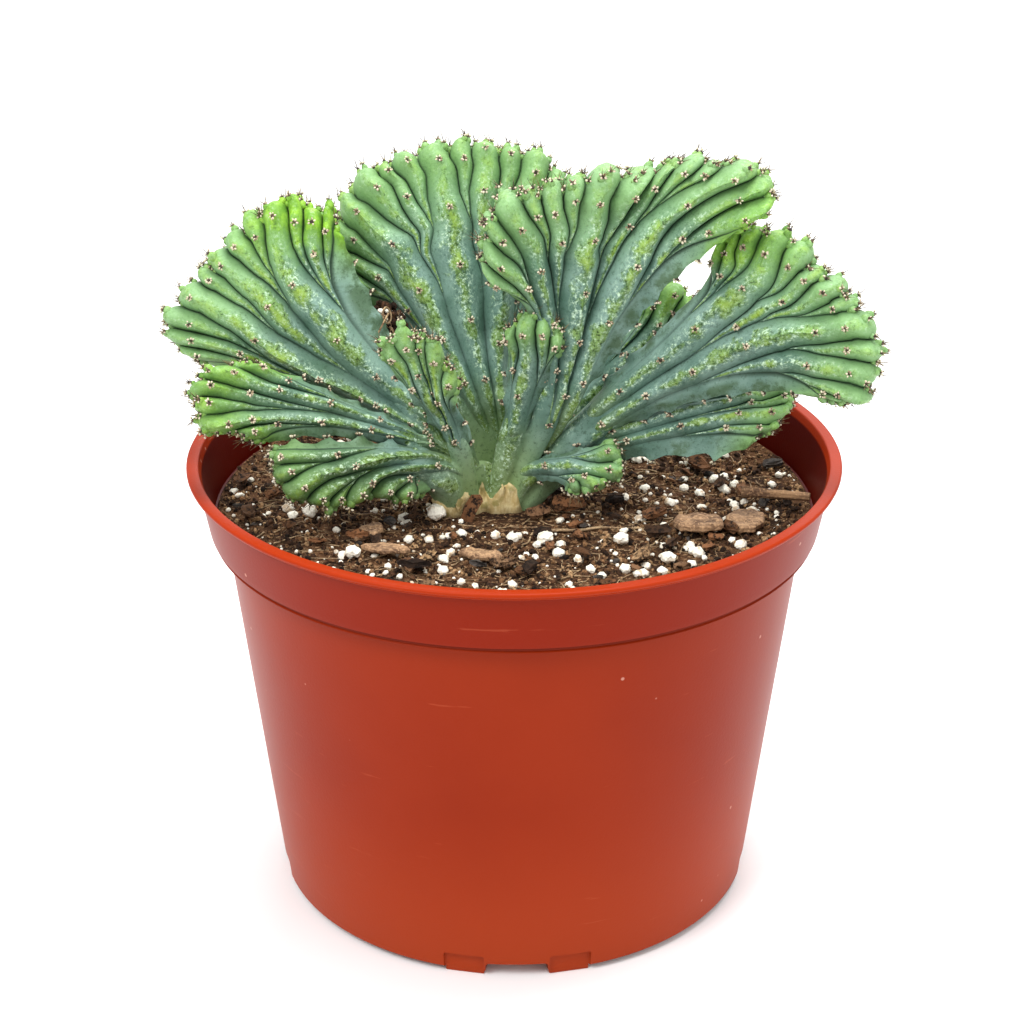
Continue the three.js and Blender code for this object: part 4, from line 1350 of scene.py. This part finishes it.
def fan_net(fan):
    """The points and faces of a fan, with its crest, flange, height and side-to-side place per point."""
    heights = np.linspace(0, 1, FAN_ROWS + 1)
    rows = [fan_row(fan, v) for v in heights]
    rise = [row["normal"] * row["rise"][:, None] for row in rows]
    front = [row["middle"] + r for row, r in zip(rows, rise)]
    back = [row["middle"] - r for row, r in zip(rows, rise)]
    edge = rows[-1]
    roll = []
    for angle in ROLL_ANGLES:
        reach = tip_reach(fan, edge) * math.sin(angle) * (1 - edge["flange"])
        lift = edge["rise"] * math.copysign(abs(math.cos(angle)) ** 0.8, math.cos(angle))
        roll.append(edge["middle"] + edge["along"] * reach[:, None] + edge["normal"] * lift[:, None])
    lines = front + roll + back[::-1]
    facts = list(zip(rows, heights)) + [(edge, 1)] * len(roll) + list(zip(rows, heights))[::-1]
    values = {name: np.concatenate([row[name] for row, _ in facts]) for name in ("crest", "flange", "u")}
    values["height"] = np.concatenate([np.full(len(row["u"]), v) for row, v in facts])
    columns = len(lines[0])
    return np.concatenate(lines), net_faces(len(lines), columns), values


# %% [markdown]
# Areoles are the small woolly cushions that a cactus carries its spines on. They sit on the crest of
# each rib, a little more than a centimetre apart and closer near the growing edge, on the teeth of
# the flanges, and crowded along the growing edge itself. Each is kept as a point with the direction
# that it faces, and the skin of the ribs swells a little under it. To place them by hand on so many
# ribs would take days, and they follow the same u and v as the ribs do.

# %% Where the areoles are
AREOLE_SPACING = 13
MARGIN_SPACING = 1.25
SWELL = 0.8
SWELL_RADIUS = 1.9
DENT = 0.55
DENT_RADIUS = 1.3
DENT_ABOVE = 2.8
SWELL_REACH = 6
ON_SWELL = 0.85


def on_face(fan, x, v, side):
    """A point on one face, for side 1 or -1, and the directions out of it and along it."""
    total = fan.spans(v)[1]
    middle, along, _, normal = fan.frame(np.array([x / total]), v)
    rise = (fan.bulk(v)[0] + fan.relief(np.array([x]), v)[0][0]) * fan.thinning(v)
    middle = middle + normal * waves(middle, *SHEET_WAVES)
    return middle[0] + side * rise * normal[0], side * normal[0], along[0]


def crest_areoles(fan, random_number):
    """Areoles down the crest of each rib, from its tip to a little above where it starts."""
    found = []
    for k, rib in enumerate(fan.ribs):
        for side in (1, -1):
            v = random_number.uniform(0.93, 1)
            spacing = random_number.uniform(0.45, 0.8) * AREOLE_SPACING
            while v > max(rib.start + 0.14, 0.1):
                point, out, along = on_face(fan, sum(fan.spans(v)[0][k]) / 2, v, side)
                found.append((point, out, along, v))
                step = 0.02
                centre = np.array([0.5])
                speed = np.linalg.norm(fan.sheet(centre, v) - fan.sheet(centre, v - step))
                v -= step * spacing * random_number.uniform(0.85, 1.15) / speed
                spacing = AREOLE_SPACING
    return found


def tooth_areoles(fan):
    """An areole on the top of each tooth of both flanges."""
    found = []
    for side in (0, 1):
        heights = np.linspace(0.2, 0.99, 80)
        lengths = np.array([fan.side_length(side, v) for v in heights]) / TOOTH_PITCH
        for i in range(1, len(heights)):
            if int(lengths[i]) > int(lengths[i - 1]):
                row = fan_row(fan, heights[i])
                end = 0 if side == 0 else -1
                _, across, _ = fan.directions(np.array([float(side)]), heights[i])
                outward = across[0] * (1 if side else -1)
                found.append((row["middle"][end], outward, row["along"][end], heights[i]))
    return found


def margin_beads(fan, random_number):
    """Places along the growing edge where the youngest tubercles crowd."""
    edge = fan_row(fan, 1.0)
    length = np.linalg.norm(np.diff(edge["middle"], axis=0), axis=1).sum()
    count = int(length / MARGIN_SPACING)
    found = []
    for k in range(count):
        i = int((k + random_number.random()) / count * (len(edge["u"]) - 1))
        angle = math.radians(random_number.uniform(35, 145))
        if edge["flange"][i] > 0.5:
            continue
        reach = tip_reach(fan, edge)[i] * math.sin(angle)
        lift = edge["rise"][i] * math.cos(angle)
        point = edge["middle"][i] + edge["along"][i] * reach + edge["normal"][i] * lift
        out = edge["along"][i] * math.sin(angle) + edge["normal"][i] * 0.6 * math.cos(angle)
        found.append((point, out / np.linalg.norm(out), edge["along"][i], fan.young(edge["u"][i])))
    return found


# %% [markdown]
# Now the fans can grow. The skin is raised under each areole, and all fans are put into one mesh,
# because they are one skin with one finish.

# %% Growing the fans
def swell(points, areoles):
    """Raises the skin in a low bump under each areole, with a shallow dent above it."""
    for point, out, along, _ in areoles:
        far = np.linalg.norm(points - point, axis=1)
        above = np.linalg.norm(points - point - along * DENT_ABOVE, axis=1)
        lift = SWELL * np.exp(-((far / SWELL_RADIUS) ** 2)) - DENT * np.exp(-((above / DENT_RADIUS) ** 2))
        near = far < SWELL_REACH
        points[near] += out * lift[near][:, None]
    return points


def grow_fans():
    """All the fans as one net of points and faces, their areoles and the beads of their edges."""
    points, faces, values, areoles, beads = [], [], [], [], []
    start = 0
    for number, (name, fan) in enumerate(fans.items()):
        random_number = random.Random(50 + number)
        net, net_face, facts = fan_net(fan)
        crest = crest_areoles(fan, random_number)
        beads += margin_beads(fan, random_number)
        points.append(swell(net, crest))
        faces += [tuple(c + start for c in face) for face in net_face]
        facts["young"] = fan.young(facts.pop("u"))
        values.append(facts)
        areoles += [(point + ON_SWELL * SWELL * out, out, along, v) for point, out, along, v in crest]
        areoles += tooth_areoles(fan)
        start += len(net)
    values = {k: np.concatenate([v[k] for v in values]) for k in values[0]}
    return np.concatenate(points), faces, values, areoles, beads


fan_points, fan_faces, fan_values, areoles, beads = grow_fans()
print("fans:", len(fan_points), "points,", len(fan_faces), "faces")
print("on them:", len(areoles), "areoles and", len(beads), "beads")

# %% [markdown]
# The skin is grey-blue under a waxy bloom in the creases and on the flat sides, and the bloom is worn
# off in mottled green strips along the crests. The masks come from values that were stored on the
# points while the fans grew, broken up by noise. They could be painted instead, but stored values fit
# every rib without a brush. `SkinMasks` makes the masks that all coats share.

# %% The masks of the skin
class SkinMasks:
    """The wires that all steps of the skin's finish share."""

    def __init__(self, finish):
        self.place = finish.place
        self.crest, self.flange, self.height, self.young = (
            finish.attribute(name) for name in ("crest", "flange", "height", "young"))
        self.patches = self.place.speckle(0.014, 3, 0.55)
        self.mottle = self.place.speckle(0.0042, 5, 0.65)
        self.flecks = self.place.speckle(0.0009, 5, 0.78)
        self.tip = self.height.between(0.72, 0.96)
        self.not_flange = 1 - self.flange.between(0.0, 0.2)
        broken = (self.patches - 0.5) * 1.0 + (self.mottle - 0.5) * 1.7
        self.strip = (self.crest * 0.8 + broken - self.flange * 0.6).between(0.42, 0.72)


# %% [markdown]
# The colour is laid on in coats, like a painter's glazes. First comes the bloom with the worn strips.
# The skin is fresher and lighter green towards the growing edge, partly young skin and partly painted
# light on the fans' upper edges, and lime where the plant is in new growth. The low fans at the left are
# darker, partly older skin and partly painted shade under the fans above, and the skin is pale olive
# near the trunk.

# %% Bloom, age, painted light and painted shade
def worn_bloom(masks):
    bloom = masks.patches.between(0.32, 0.62).blend(rgb(86, 118, 104), rgb(126, 156, 144))
    olive = masks.mottle.between(0.36, 0.64).blend(rgb(58, 92, 34), rgb(118, 150, 62))
    return (masks.strip * 0.8).blend(bloom, olive)


def aged(masks, colour):
    # Towards the growing edge the skin is fresher and lighter: young skin, and painted light on the fans'
    # upper edges.
    fresh_and_lit = (masks.height + (masks.patches - 0.5) * 0.3).between(0.6, 0.95) * 0.75
    green = fresh_and_lit.blend(colour, rgb(130, 172, 102))
    lime = masks.mottle.between(0.4, 0.6).blend(rgb(100, 150, 20), rgb(144, 194, 50))
    new_growth = masks.young * (masks.height + (masks.mottle - 0.5) * 0.3).between(0.74, 1.0)
    grown = new_growth.blend(green, lime)
    # Low on the left the skin is darker: older skin, and painted shade under the fans above.
    low = 1 - masks.place.part(2).between(0.104, 0.146)
    left = 1 - masks.place.part(0).between(-0.034, -0.014)
    older_and_shaded = low * left * masks.height.between(0.3, 0.5) * 0.75
    near_trunk = (1 - masks.height.between(0.0, 0.3)) * 0.7
    return near_trunk.blend(older_and_shaded.blend(grown, rgb(78, 106, 44)), rgb(142, 166, 94))


# %% [markdown]
# Then come the marks: dark blotches on the flanges, partly painted shade, mossy green flecks, flecks of
# wax that are left at the borders of the worn strips and yellow-green streaks down the crests. Last comes
# painted shade: darker flanks and dark creases.

# %% Marks, painted shade, and the whole skin
def marked(masks, colour):
    # Dark blotches on the flanges: partly mottle, partly painted shade on sides that turn away from the
    # light.
    cloudy = (masks.patches * 0.4 + masks.mottle * 0.6).between(0.44, 0.58)
    stained = masks.flange.between(0.0, 0.5) * cloudy
    blotches_and_shade = (stained * 0.75).blend(colour, rgb(58, 84, 44))
    on_strip = 0.4 + masks.strip * 0.55
    moss = (1 - masks.flecks.between(0.39, 0.46)) * on_strip * (1 - masks.tip * 0.5)
    mossy = moss.blend(blotches_and_shade, rgb(30, 56, 22))
    border = masks.strip * (1 - masks.strip) * 2.6 + masks.crest.between(0.2, 0.7) * 0.5
    wax = masks.flecks.between(0.525, 0.6) * border.between(0, 0.9) * (1 - masks.tip * 0.75)
    return wax.blend(mossy, rgb(192, 218, 190))


def shaded(masks, colour):
    uneven = (masks.mottle * 0.6 + masks.patches * 0.4).between(0.5, 0.6)
    streak = masks.crest.between(0.55, 0.95) * uneven * masks.height.between(0.35, 0.7)
    streaked = (streak * (1 - masks.tip * 0.5) * 0.55).blend(colour, rgb(148, 178, 52))
    # Painted shade: darker flanks beside the creases, in the middle of the fans.
    on_flank = (1 - masks.crest.between(0.0, 0.55)) * masks.not_flange
    flank_shade = on_flank * masks.height.between(0.3, 0.7) * 0.4
    flanked = flank_shade.blend(streaked, rgb(46, 84, 52))
    # Painted shade: dark creases between the ribs.
    in_crease = (1 - masks.crest.between(0.0, 0.17)) * masks.not_flange
    crease_shade = in_crease * masks.height.between(0.1, 0.8) * 0.92
    return crease_shade.blend(flanked, rgb(20, 40, 26))


def skin_finish():
    finish = Finish("cactus_skin", Roughness=0.5, Specular_IOR_Level=0.3)
    masks = SkinMasks(finish)
    grain = masks.place.speckle(0.0008, 4, 0.7)
    colour = shaded(masks, marked(masks, aged(masks, worn_bloom(masks))))
    finish.feed(Base_Color=colour, Roughness=0.56 - masks.strip * 0.12)
    finish.bump(grain * 0.5 + masks.mottle, 0.00045, 0.7)
    return finish.material


skin = skin_finish()
crest = mesh_piece(fan_points, fan_faces, fan_values)
finish_piece(crest, "crest", "cactus", skin, "cactus", smooth=60)

# %% [markdown]
# ## The trunk
# The trunk is short and stout, and its ribs part at once like the fingers of a hand. A finger is a
# tapering tube that starts at the trunk's foot and bends into a bold rib, on the front or on the back
# of its fan. A core fills the middle. The tubes and the core could be joined by Boolean modifiers, but
# a voxel remesh takes any number of them at once, and smoothing then rounds every meeting.

# %% Trunk
FOOT_AT = Vector((-7.6, -3, 0))
# A finger starts on an oval ring round the foot's axis, and ends at this height v of its fan.
FINGER_FOOT = 88
FINGER_RING = (6.4, 3.6)
FINGER_END = 0.34
FINGER_SIDES = 16
FINGER_STEPS = 16
# Its radius at the start, and the least and the most where it ends.
FOOT_RADIUS = 2.1
RIB_RADII = (2.0, 3.9)
# The height from which its lean to the left or right is measured.
LEAN_HEIGHT = 94
# The core's rings, as radius and height, and its depth as a share of its width.
CORE = [(7.2, 84), (7.2, 92), (6.2, 98), (4.6, 103), (2, 106)]
CORE_SIDES = 48
CORE_DEPTH = 0.72
TRUNK_VOXEL = 0.5
CREASE_SPAN = 2.6
# A waxy hollow in the middle of the front, and how far from the foot the trunk turns from pale to blue.
HOLLOW_AT = (-5.0, -10, 110)
HOLLOW_SIZE = (3.0, 5, 9)
PALE_HEIGHT = 100
PALE_SPAN = (6, 28)


def finger_line(start, end, end_direction):
    """The points along a finger, which leaves its start a little upwards and bends to its end."""
    reach = np.linalg.norm(end - start)
    leave = unit(np.array([(end - start) / reach + [0, 0, 0.5]]))[0]
    handles = (start, start + leave * 0.35 * reach, end - end_direction * 0.4 * reach, end)
    steps = np.linspace(0, 1, FINGER_STEPS)[:, None]
    rest = 1 - steps
    line = rest**3 * handles[0] + 3 * rest**2 * steps * handles[1]
    return line + 3 * rest * steps**2 * handles[2] + steps**3 * handles[3]


def finger(line, radii):
    """The rings of points of a tapering tube with a rounded end, round a line."""
    steps = np.linspace(0, 1, FINGER_STEPS)[:, None]
    directions = unit(np.gradient(line, axis=0))
    side = unit(np.cross(directions, [0, 1, 0]))
    face = np.cross(side, directions)
    radius = lerp(*radii, smoothstep(0, 0.75, steps)) * (1 - 0.8 * smoothstep(0.8, 1, steps))
    angles = np.linspace(0, 2 * math.pi, FINGER_SIDES, endpoint=False)
    rings = [line + radius * (math.cos(a) * side + math.sin(a) * face) for a in angles]
    return np.stack(rings, axis=1).reshape(-1, 3)


def tube_faces(first, rings, sides):
    """The faces of a closed tube whose points start at the number first."""
    made = [tuple(range(first + sides - 1, first - 1, -1))]
    for ring in range(rings - 1):
        for k in range(sides):
            a, b = first + ring * sides + k, first + ring * sides + (k + 1) % sides
            made.append((a, b, b + sides, a + sides))
    return made + [tuple(range(first + (rings - 1) * sides, first + rings * sides))]


def fan_fingers(fan):
    """The line and the end radius of each finger of a fan, on its front face and on its back face."""
    spans, total = fan.spans(FINGER_END)
    half, rib_mm = fan.bulk(FINGER_END)
    for side in (1, -1):
        facing = fan.frame(np.array([0.5]), FINGER_END)[3][0][1] * side
        for k in fan.rows["fingers"][0 if facing < 0 else 1]:
            x0, x1 = spans[k]
            centre = np.array([(x0 + x1) / 2 / total])
            middle, along, _, normal = (v[0] for v in fan.frame(centre, FINGER_END))
            lean = math.atan2(middle[0] - FOOT_AT.x, middle[2] - LEAN_HEIGHT)
            front = -1 if facing < 0 else 1
            across = FINGER_RING[0] * math.sin(lean)
            deep = front * FINGER_RING[1] * math.cos(0.7 * lean)
            start = np.array([FOOT_AT.x + across, FOOT_AT.y + deep, FINGER_FOOT])
            radius = min(max(0.55 * (x1 - x0) * rib_mm, RIB_RADII[0]), RIB_RADII[1])
            yield finger_line(start, middle + side * normal * half * 0.7, along), radius


# %% [markdown]
# The remeshed trunk has new points, so the values for its skin are worked out again: near a finger's
# line is a crest, and halfway between two fingers a crease.

# %% The trunk in one skin
def trunk_values(points, lines):
    """Values for the skin: how near each point is to a ridge, the waxy hollow, and the height."""
    near = np.array([np.linalg.norm(points[:, None] - line[None], axis=2).min(axis=1) for line in lines])
    near.sort(axis=0)
    hollow = np.linalg.norm((points - HOLLOW_AT) / HOLLOW_SIZE, axis=1)
    rise = np.linalg.norm(points - [FOOT_AT.x, FOOT_AT.y, PALE_HEIGHT], axis=1)
    return {
        "crest": np.clip((near[1] - near[0]) / CREASE_SPAN, 0.07, 1),
        "flange": 0.7 * np.exp(-(hollow**2)),
        "height": 0.3 * np.clip((rise - PALE_SPAN[0]) / (PALE_SPAN[1] - PALE_SPAN[0]), 0, 1),
    }


def grow_trunk():
    """The fingers and the core in one skin."""
    points, faces, lines = [], [], []
    for fan in fans.values():
        for line, radius in fan_fingers(fan):
            faces += tube_faces(len(points), FINGER_STEPS, FINGER_SIDES)
            points += list(finger(line, (FOOT_RADIUS, radius)))
            lines.append(line)
    core = len(points)
    for radius, height in CORE:
        for angle in np.linspace(0, 2 * math.pi, CORE_SIDES, endpoint=False):
            across, deep = radius * math.cos(angle), CORE_DEPTH * radius * math.sin(angle)
            points.append((FOOT_AT.x + across, FOOT_AT.y + deep, height))
    faces += tube_faces(core, len(CORE), CORE_SIDES)
    piece = mesh_piece(points, faces)
    apply_modifier(piece, "REMESH", mode="VOXEL", voxel_size=TRUNK_VOXEL * MM)
    apply_modifier(piece, "SMOOTH", factor=0.5, iterations=2)
    corners = np.array([v.co for v in piece.data.vertices]) / MM
    store(piece.data, trunk_values(corners, lines))
    print("trunk:", len(lines), "fingers,", len(piece.data.polygons), "faces")
    return piece


trunk = grow_trunk()
trunk_surface = surface_of(trunk)
finish_piece(trunk, "trunk", "cactus", skin, smooth=180)

# %% [markdown]
# The foot of the trunk is ringed by old skin that has turned to cork and torn as the trunk grew. It is
# a cylinder cut into rings and drawn in to the trunk's skin, found by rays from its axis, which fits
# closer than a Shrinkwrap modifier with a gap. Its torn upper edge peels outwards, and Solidify gives
# it thickness.

# %% Cork collar
# The heights that it reaches between, and where it is cut into rings.
CORK_HEIGHTS = (92, 101)
CORK_STEPS = (94, 96, 98, 99.5, 100.4)
CORK_COLUMNS = 200
CORK_GAP = 0.35
CORK_THICKNESS = 0.45
# Its radius goes no further than the reach, less the lean at the right and with the lean added at the
# left, and is a fixed one where a ray misses the trunk.
CORK_REACH = 12.5
CORK_LEAN = 3
CORK_MISSED = 8
# The peaks that stay when it tears: the direction in degrees, the height and half the width of each.
CORK_PEAKS = [(-124, 5.6, 22), (-88, 3.6, 16), (-50, 6.0, 20), (0, 2.6, 20), (40, 2.4, 14),
    (80, 4.0, 22), (130, 3.5, 18), (-172, 3.6, 16)]


def trunk_radius(angle, height):
    """How far the trunk's skin is from its axis in a direction, in millimetres, with a limit where a
    fan leaves it. A ray that misses the trunk gets a fixed radius."""
    axis = Vector((FOOT_AT.x, FOOT_AT.y, height)) * MM
    hit = trunk_surface.ray_cast(axis, Vector((math.cos(angle), math.sin(angle), 0)))[0]
    if hit is None:
        return CORK_MISSED
    return min((hit - axis).length / MM, CORK_REACH - CORK_LEAN * math.cos(angle))


def cork_collar():
    low, high = CORK_HEIGHTS
    bpy.ops.object.select_all(action="DESELECT")
    bpy.ops.mesh.primitive_cylinder_add(vertices=CORK_COLUMNS, radius=MM, depth=(high - low) * MM,
        end_fill_type="NOTHING", location=(0, 0, (low + high) / 2 * MM))
    piece = bpy.context.object
    bpy.ops.object.transform_apply(location=True)
    bpy.ops.object.mode_set(mode="EDIT")
    for height in CORK_STEPS:
        bpy.ops.mesh.select_all(action="SELECT")
        bpy.ops.mesh.bisect(plane_co=(0, 0, height * MM), plane_no=(0, 0, 1))
    bpy.ops.object.mode_set(mode="OBJECT")
    ragged = random.Random(31)
    tears = [ragged.uniform(-0.3, 0.3) for _ in range(CORK_COLUMNS)]
    for vertex in piece.data.vertices:
        angle = math.atan2(vertex.co.y, vertex.co.x)
        degrees = math.degrees(angle)
        up = (vertex.co.z / MM - low) / (high - low)
        peak = sum(h * max(0, 1 - abs((degrees - a + 180) % 360 - 180) / w) for a, h, w in CORK_PEAKS)
        peak += tears[round(angle / (2 * math.pi) * CORK_COLUMNS) % CORK_COLUMNS]
        height = vertex.co.z / MM + (peak - 1.5) * smoothstep(0.2, 1, up)
        crumple = noise.noise(Vector((3 * angle, height / 3, 0)) * 1.6)
        radius = trunk_radius(angle, height) + CORK_GAP + 0.5 * crumple + 0.9 * (1 - up) ** 2
        radius += 0.16 * max(0, peak - 1) * smoothstep(0.5, 1, up)
        across, deep = radius * math.cos(angle), radius * math.sin(angle)
        vertex.co = Vector((FOOT_AT.x + across, FOOT_AT.y + deep, height)) * MM
    apply_modifier(piece, "SMOOTH", factor=0.5, iterations=2)
    apply_modifier(piece, "SOLIDIFY", thickness=CORK_THICKNESS * MM, offset=0)
    return piece


# %% [markdown]
# Cork is pale straw with fine upright fibres, greenish where it is thin and brown where it meets the
# damp mix.

# %% Cork
def cork_finish():
    finish = Finish("cork", Roughness=0.8)
    place = finish.place
    fibre = place.stretched(1, 1, 0.55).speckle(0.0013, 4, 0.65)
    patch = place.speckle(0.004, 3)
    tan = fibre.between(0.3, 0.7).blend(rgb(194, 168, 108), rgb(232, 216, 164))
    aged = (patch.between(0.52, 0.64) * 0.8).blend(tan, rgb(150, 138, 74))
    low = (1 - place.part(2).between(0.0955, 0.098)) * 0.5
    finish.feed(Base_Color=low.blend(aged, rgb(96, 66, 40)))
    finish.bump(fibre + patch, 0.0005, 0.8)
    return finish.material


finish_piece(cork_collar(), "cork_collar", "cactus", cork_finish(), smooth=50)

# %% [markdown]
# ## Tubercles and areoles
# Along the growing edge the youngest tubercles crowd like green beads. One bead is modelled as a ball
# and copied along each edge, half sunken and in the skin's own finish, so that it seems to grow there.

# %% Beads on the growing edges
BEAD_SIZES = (0.5, 1.1)
BEAD_TOP = 0.86


def turned_to(direction, twist):
    """A rotation that turns up to a direction, after a twist round it."""
    return Vector(direction).to_track_quat("Z", "Y").to_matrix().to_4x4() @ Matrix.Rotation(twist, 4, "Z")


def bead_placements():
    """A placement for each bead, and the areole on its top."""
    random_number = random.Random(6)
    placements, tops = [], []
    for point, out, along, _ in beads:
        size = random_number.uniform(*BEAD_SIZES)
        length = size * random_number.uniform(1.0, 1.5)
        turn = turned_to(out, random_number.uniform(*ANY_TURN))
        placements.append(placed(point, turn, (size, size, length)))
        tops.append((point + out * BEAD_TOP * length, out, along, 1))
    return placements, tops


bead = lumpy_ball(2, 0.05, 2)
placements, bead_tops = bead_placements()
ones = [1] * len(beads)
bead_values = {"crest": ones, "height": ones, "young": [value for _, _, _, value in beads]}
finish_piece(copies(bead.data, placements, bead_values), "edge_beads", "cactus", skin, smooth=180)

# %% [markdown]
# An areole is a dark cushion ringed by tufts of cream-coloured wool, with a few short dark spines in
# it. At the growing edge the spines are longer and stand up more. A cushion, a tuft and a spine are
# modelled once, with few faces, and copied to every areole. Hair curves would do for the wool, but
# when the whole plant is seen each tuft is only a pale dot.

# %% Cushions, tufts and spines
# A cushion's radius, and its height as a share of that.
CUSHION = 0.52
CUSHION_HEIGHT = 0.75
# The least and the most size of a ball of wool, how far out and up it sits, and how long and wide it is.
TUFT = (0.2, 0.34)
TUFT_RING = 0.6
TUFT_LIFT = 0.3
TUFT_SHAPE = (1.35, 0.85)
SPINE_FOOT = 0.13


def cone_template(foot, sides):
    """A cone of one millimetre that stands on its foot and ends in a small flat tip."""
    bpy.ops.object.select_all(action="DESELECT")
    bpy.ops.mesh.primitive_cone_add(vertices=sides, radius1=foot * MM, radius2=0.2 * foot * MM, depth=MM,
        location=(0, 0, 0.5 * MM))
    bpy.ops.object.transform_apply(location=True)
    return bpy.context.object


def cushions(areoles):
    """The placement of the cushion of each areole."""
    random_number = random.Random(8)
    placements = []
    for point, out, _, _ in areoles:
        size = CUSHION * random_number.uniform(0.8, 1.15)
        turn = turned_to(out, random_number.uniform(*ANY_TURN))
        placements.append(placed(point, turn, (size, size, CUSHION_HEIGHT * size)))
    return placements


def tufts(areoles, counts, seed):
    """Placements of small balls of wool in a loose ring on each areole."""
    random_number = random.Random(seed)
    placements = []
    for point, out, _, _ in areoles:
        start = random_number.uniform(*ANY_TURN)
        count = random_number.randint(*counts)
        middle = Matrix.Translation(Vector(point) * MM) @ turned_to(out, start)
        for k in range(count):
            turn = 2 * math.pi * k / count + random_number.uniform(-0.35, 0.35)
            ring = TUFT_RING * random_number.uniform(0.7, 1.25)
            size = random_number.uniform(*TUFT)
            lift = TUFT_LIFT * random_number.uniform(0.6, 1.4)
            at = (ring * math.cos(turn), ring * math.sin(turn), lift)
            scale = (TUFT_SHAPE[0] * size, TUFT_SHAPE[1] * size, size)
            placements.append(middle @ placed(at, Matrix.Rotation(turn, 4, "Z"), scale))
    return placements


def spines(areoles, counts, lengths, leans, seed):
    """Placements of a few spines on each areole, which lean outwards like a star."""
    random_number = random.Random(seed)
    placements = []
    for point, out, _, _ in areoles:
        start = random_number.uniform(*ANY_TURN)
        count = random_number.randint(*counts)
        frame_turn = turned_to(out, 0)
        for k in range(count):
            turn = start + 2 * math.pi * k / count + random_number.uniform(-0.3, 0.3)
            lean = random_number.uniform(*leans)
            aside = math.sin(lean)
            spread = Vector((math.cos(turn) * aside, math.sin(turn) * aside, math.cos(lean)))
            thick = random_number.uniform(0.7, 1.15)
            scale = (thick, thick, random_number.uniform(*lengths))
            placements.append(placed(point, turned_to(frame_turn @ spread, turn), scale))
    return placements


# %% [markdown]
# The wool is cream with a little dust in it, the cushion is dark felt, and the spines are horny brown.
# All three are mottled between two colours.

# %% Their finishes, and the copies
def mottled_finish(name, dark, light, low, high):
    finish = Finish(name, Roughness=0.7)
    mottle = finish.place.speckle(0.0009, 3)
    finish.feed(Base_Color=mottle.between(low, high).blend(dark, light))
    finish.bump(mottle, 0.0002)
    return finish.material


cushion = lumpy_ball(1, 0.1, 7)
tuft = lumpy_ball(1, 0.2, 8)
spine = cone_template(SPINE_FOOT, 4)
dark_wool = mottled_finish("areole_cushion", rgb(42, 31, 22), rgb(92, 72, 52), 0.4, 0.7)
pale_wool = mottled_finish("areole_wool", rgb(138, 118, 90), rgb(214, 204, 178), 0.36, 0.58)
brown = mottled_finish("dark_spines", rgb(50, 38, 26), rgb(134, 112, 74), 0.4, 0.66)
finish_piece(copies(cushion.data, cushions(areoles + bead_tops)), "areole_cushions", "cactus", dark_wool)
wool = tufts(areoles, (5, 7), 9) + tufts(bead_tops, (2, 4), 10)
finish_piece(copies(tuft.data, wool), "areole_tufts", "cactus", pale_wool, smooth=180)
stars = spines(areoles, (2, 4), lengths=(0.7, 1.4), leans=(0.3, 1.3), seed=11)
stars += spines(bead_tops, (2, 4), lengths=(1.4, 3.2), leans=(0.1, 0.8), seed=12)
finish_piece(copies(spine.data, stars), "spines", "cactus", brown)
print("areoles:", len(areoles), "and", len(bead_tops), "on the edges")
for template in (bead, cushion, tuft, spine):
    bpy.data.objects.remove(template)

# %% [markdown]
# Where two fans nearly touch, litter has been caught between them: crumbs of peat, a few grains of
# perlite and loops of dead root. The crumb is the one from the potting mix, the grain is a rounder
# one, and both are copied into the pocket with a seeded random number source. A loop of root is a
# thin torus, squeezed a little out of round.

# %% Litter in the pocket between two fans
POCKET_AT = np.array([-29.5, 5.5, 136.5])
POCKET_SIZE = np.array([4.6, 3.4, 6.0])
POCKET_FRONT = -1.1
LOOP_RADII = (1.4, 2.6)
LOOP_ROOT_RADIUS = 0.22
LOOP_SQUEEZE = (1, 0.8, 1.3)


def pocket(count, sizes, seed):
    """Placements of bits within the rounded pocket."""
    random_number = random.Random(seed)
    placements = []
    for _ in range(count):
        way = Vector([random_number.gauss(0, 1) for _ in range(3)]).normalized()
        place = POCKET_AT + POCKET_SIZE * np.array(way) * random_number.random() ** 0.5
        size = random_number.uniform(*sizes)
        turn = Matrix.Rotation(random_number.uniform(*ANY_TURN), 4, way)
        placements.append(placed(place, turn, (size, size, size)))
    return placements


def root_loop(random_number):
    """One loop of root at a random place at the front of the pocket, turned at random."""
    bpy.ops.object.select_all(action="DESELECT")
    across = random_number.uniform(-0.6, 0.5)
    place = (POCKET_AT + POCKET_SIZE * [across, POCKET_FRONT, random_number.uniform(-0.2, 0.7)]) * MM
    radius = random_number.uniform(*LOOP_RADII) * MM
    turns = [random_number.uniform(-1.2, 1.2) for _ in range(3)]
    turns[0] += math.pi / 2
    bpy.ops.mesh.primitive_torus_add(major_radius=radius, minor_radius=LOOP_ROOT_RADIUS * MM,
        major_segments=28, minor_segments=6, location=tuple(place), rotation=turns)
    loop = bpy.context.object
    bpy.ops.object.mode_set(mode="EDIT")
    bpy.ops.transform.resize(value=LOOP_SQUEEZE, center_override=tuple(place))
    bpy.ops.object.mode_set(mode="OBJECT")
    return loop


def root_loops(count, seed):
    random_number = random.Random(seed)
    loops = [root_loop(random_number) for _ in range(count)]
    only(loops[0])
    for loop in loops:
        loop.select_set(True)
    bpy.ops.object.join()
    bpy.ops.object.transform_apply(location=True, rotation=True)
    return bpy.context.object


round_grain = lumpy_ball(2, 0.14, 9)
litter = pocket(210, (0.4, 1.3), 41)
finish_piece(copies(crumb.data, litter, tones(litter, 42, 0.45)), "pocket_crumbs", "soil", crumb_brown)
caught = pocket(9, (0.6, 1.3), 43)
finish_piece(copies(round_grain.data, caught), "pocket_perlite", "perlite", perlite, smooth=180)
finish_piece(root_loops(6, 44), "pocket_roots", "twig", root_bark, smooth=60)
for template in (crumb, round_grain):
    bpy.data.objects.remove(template)
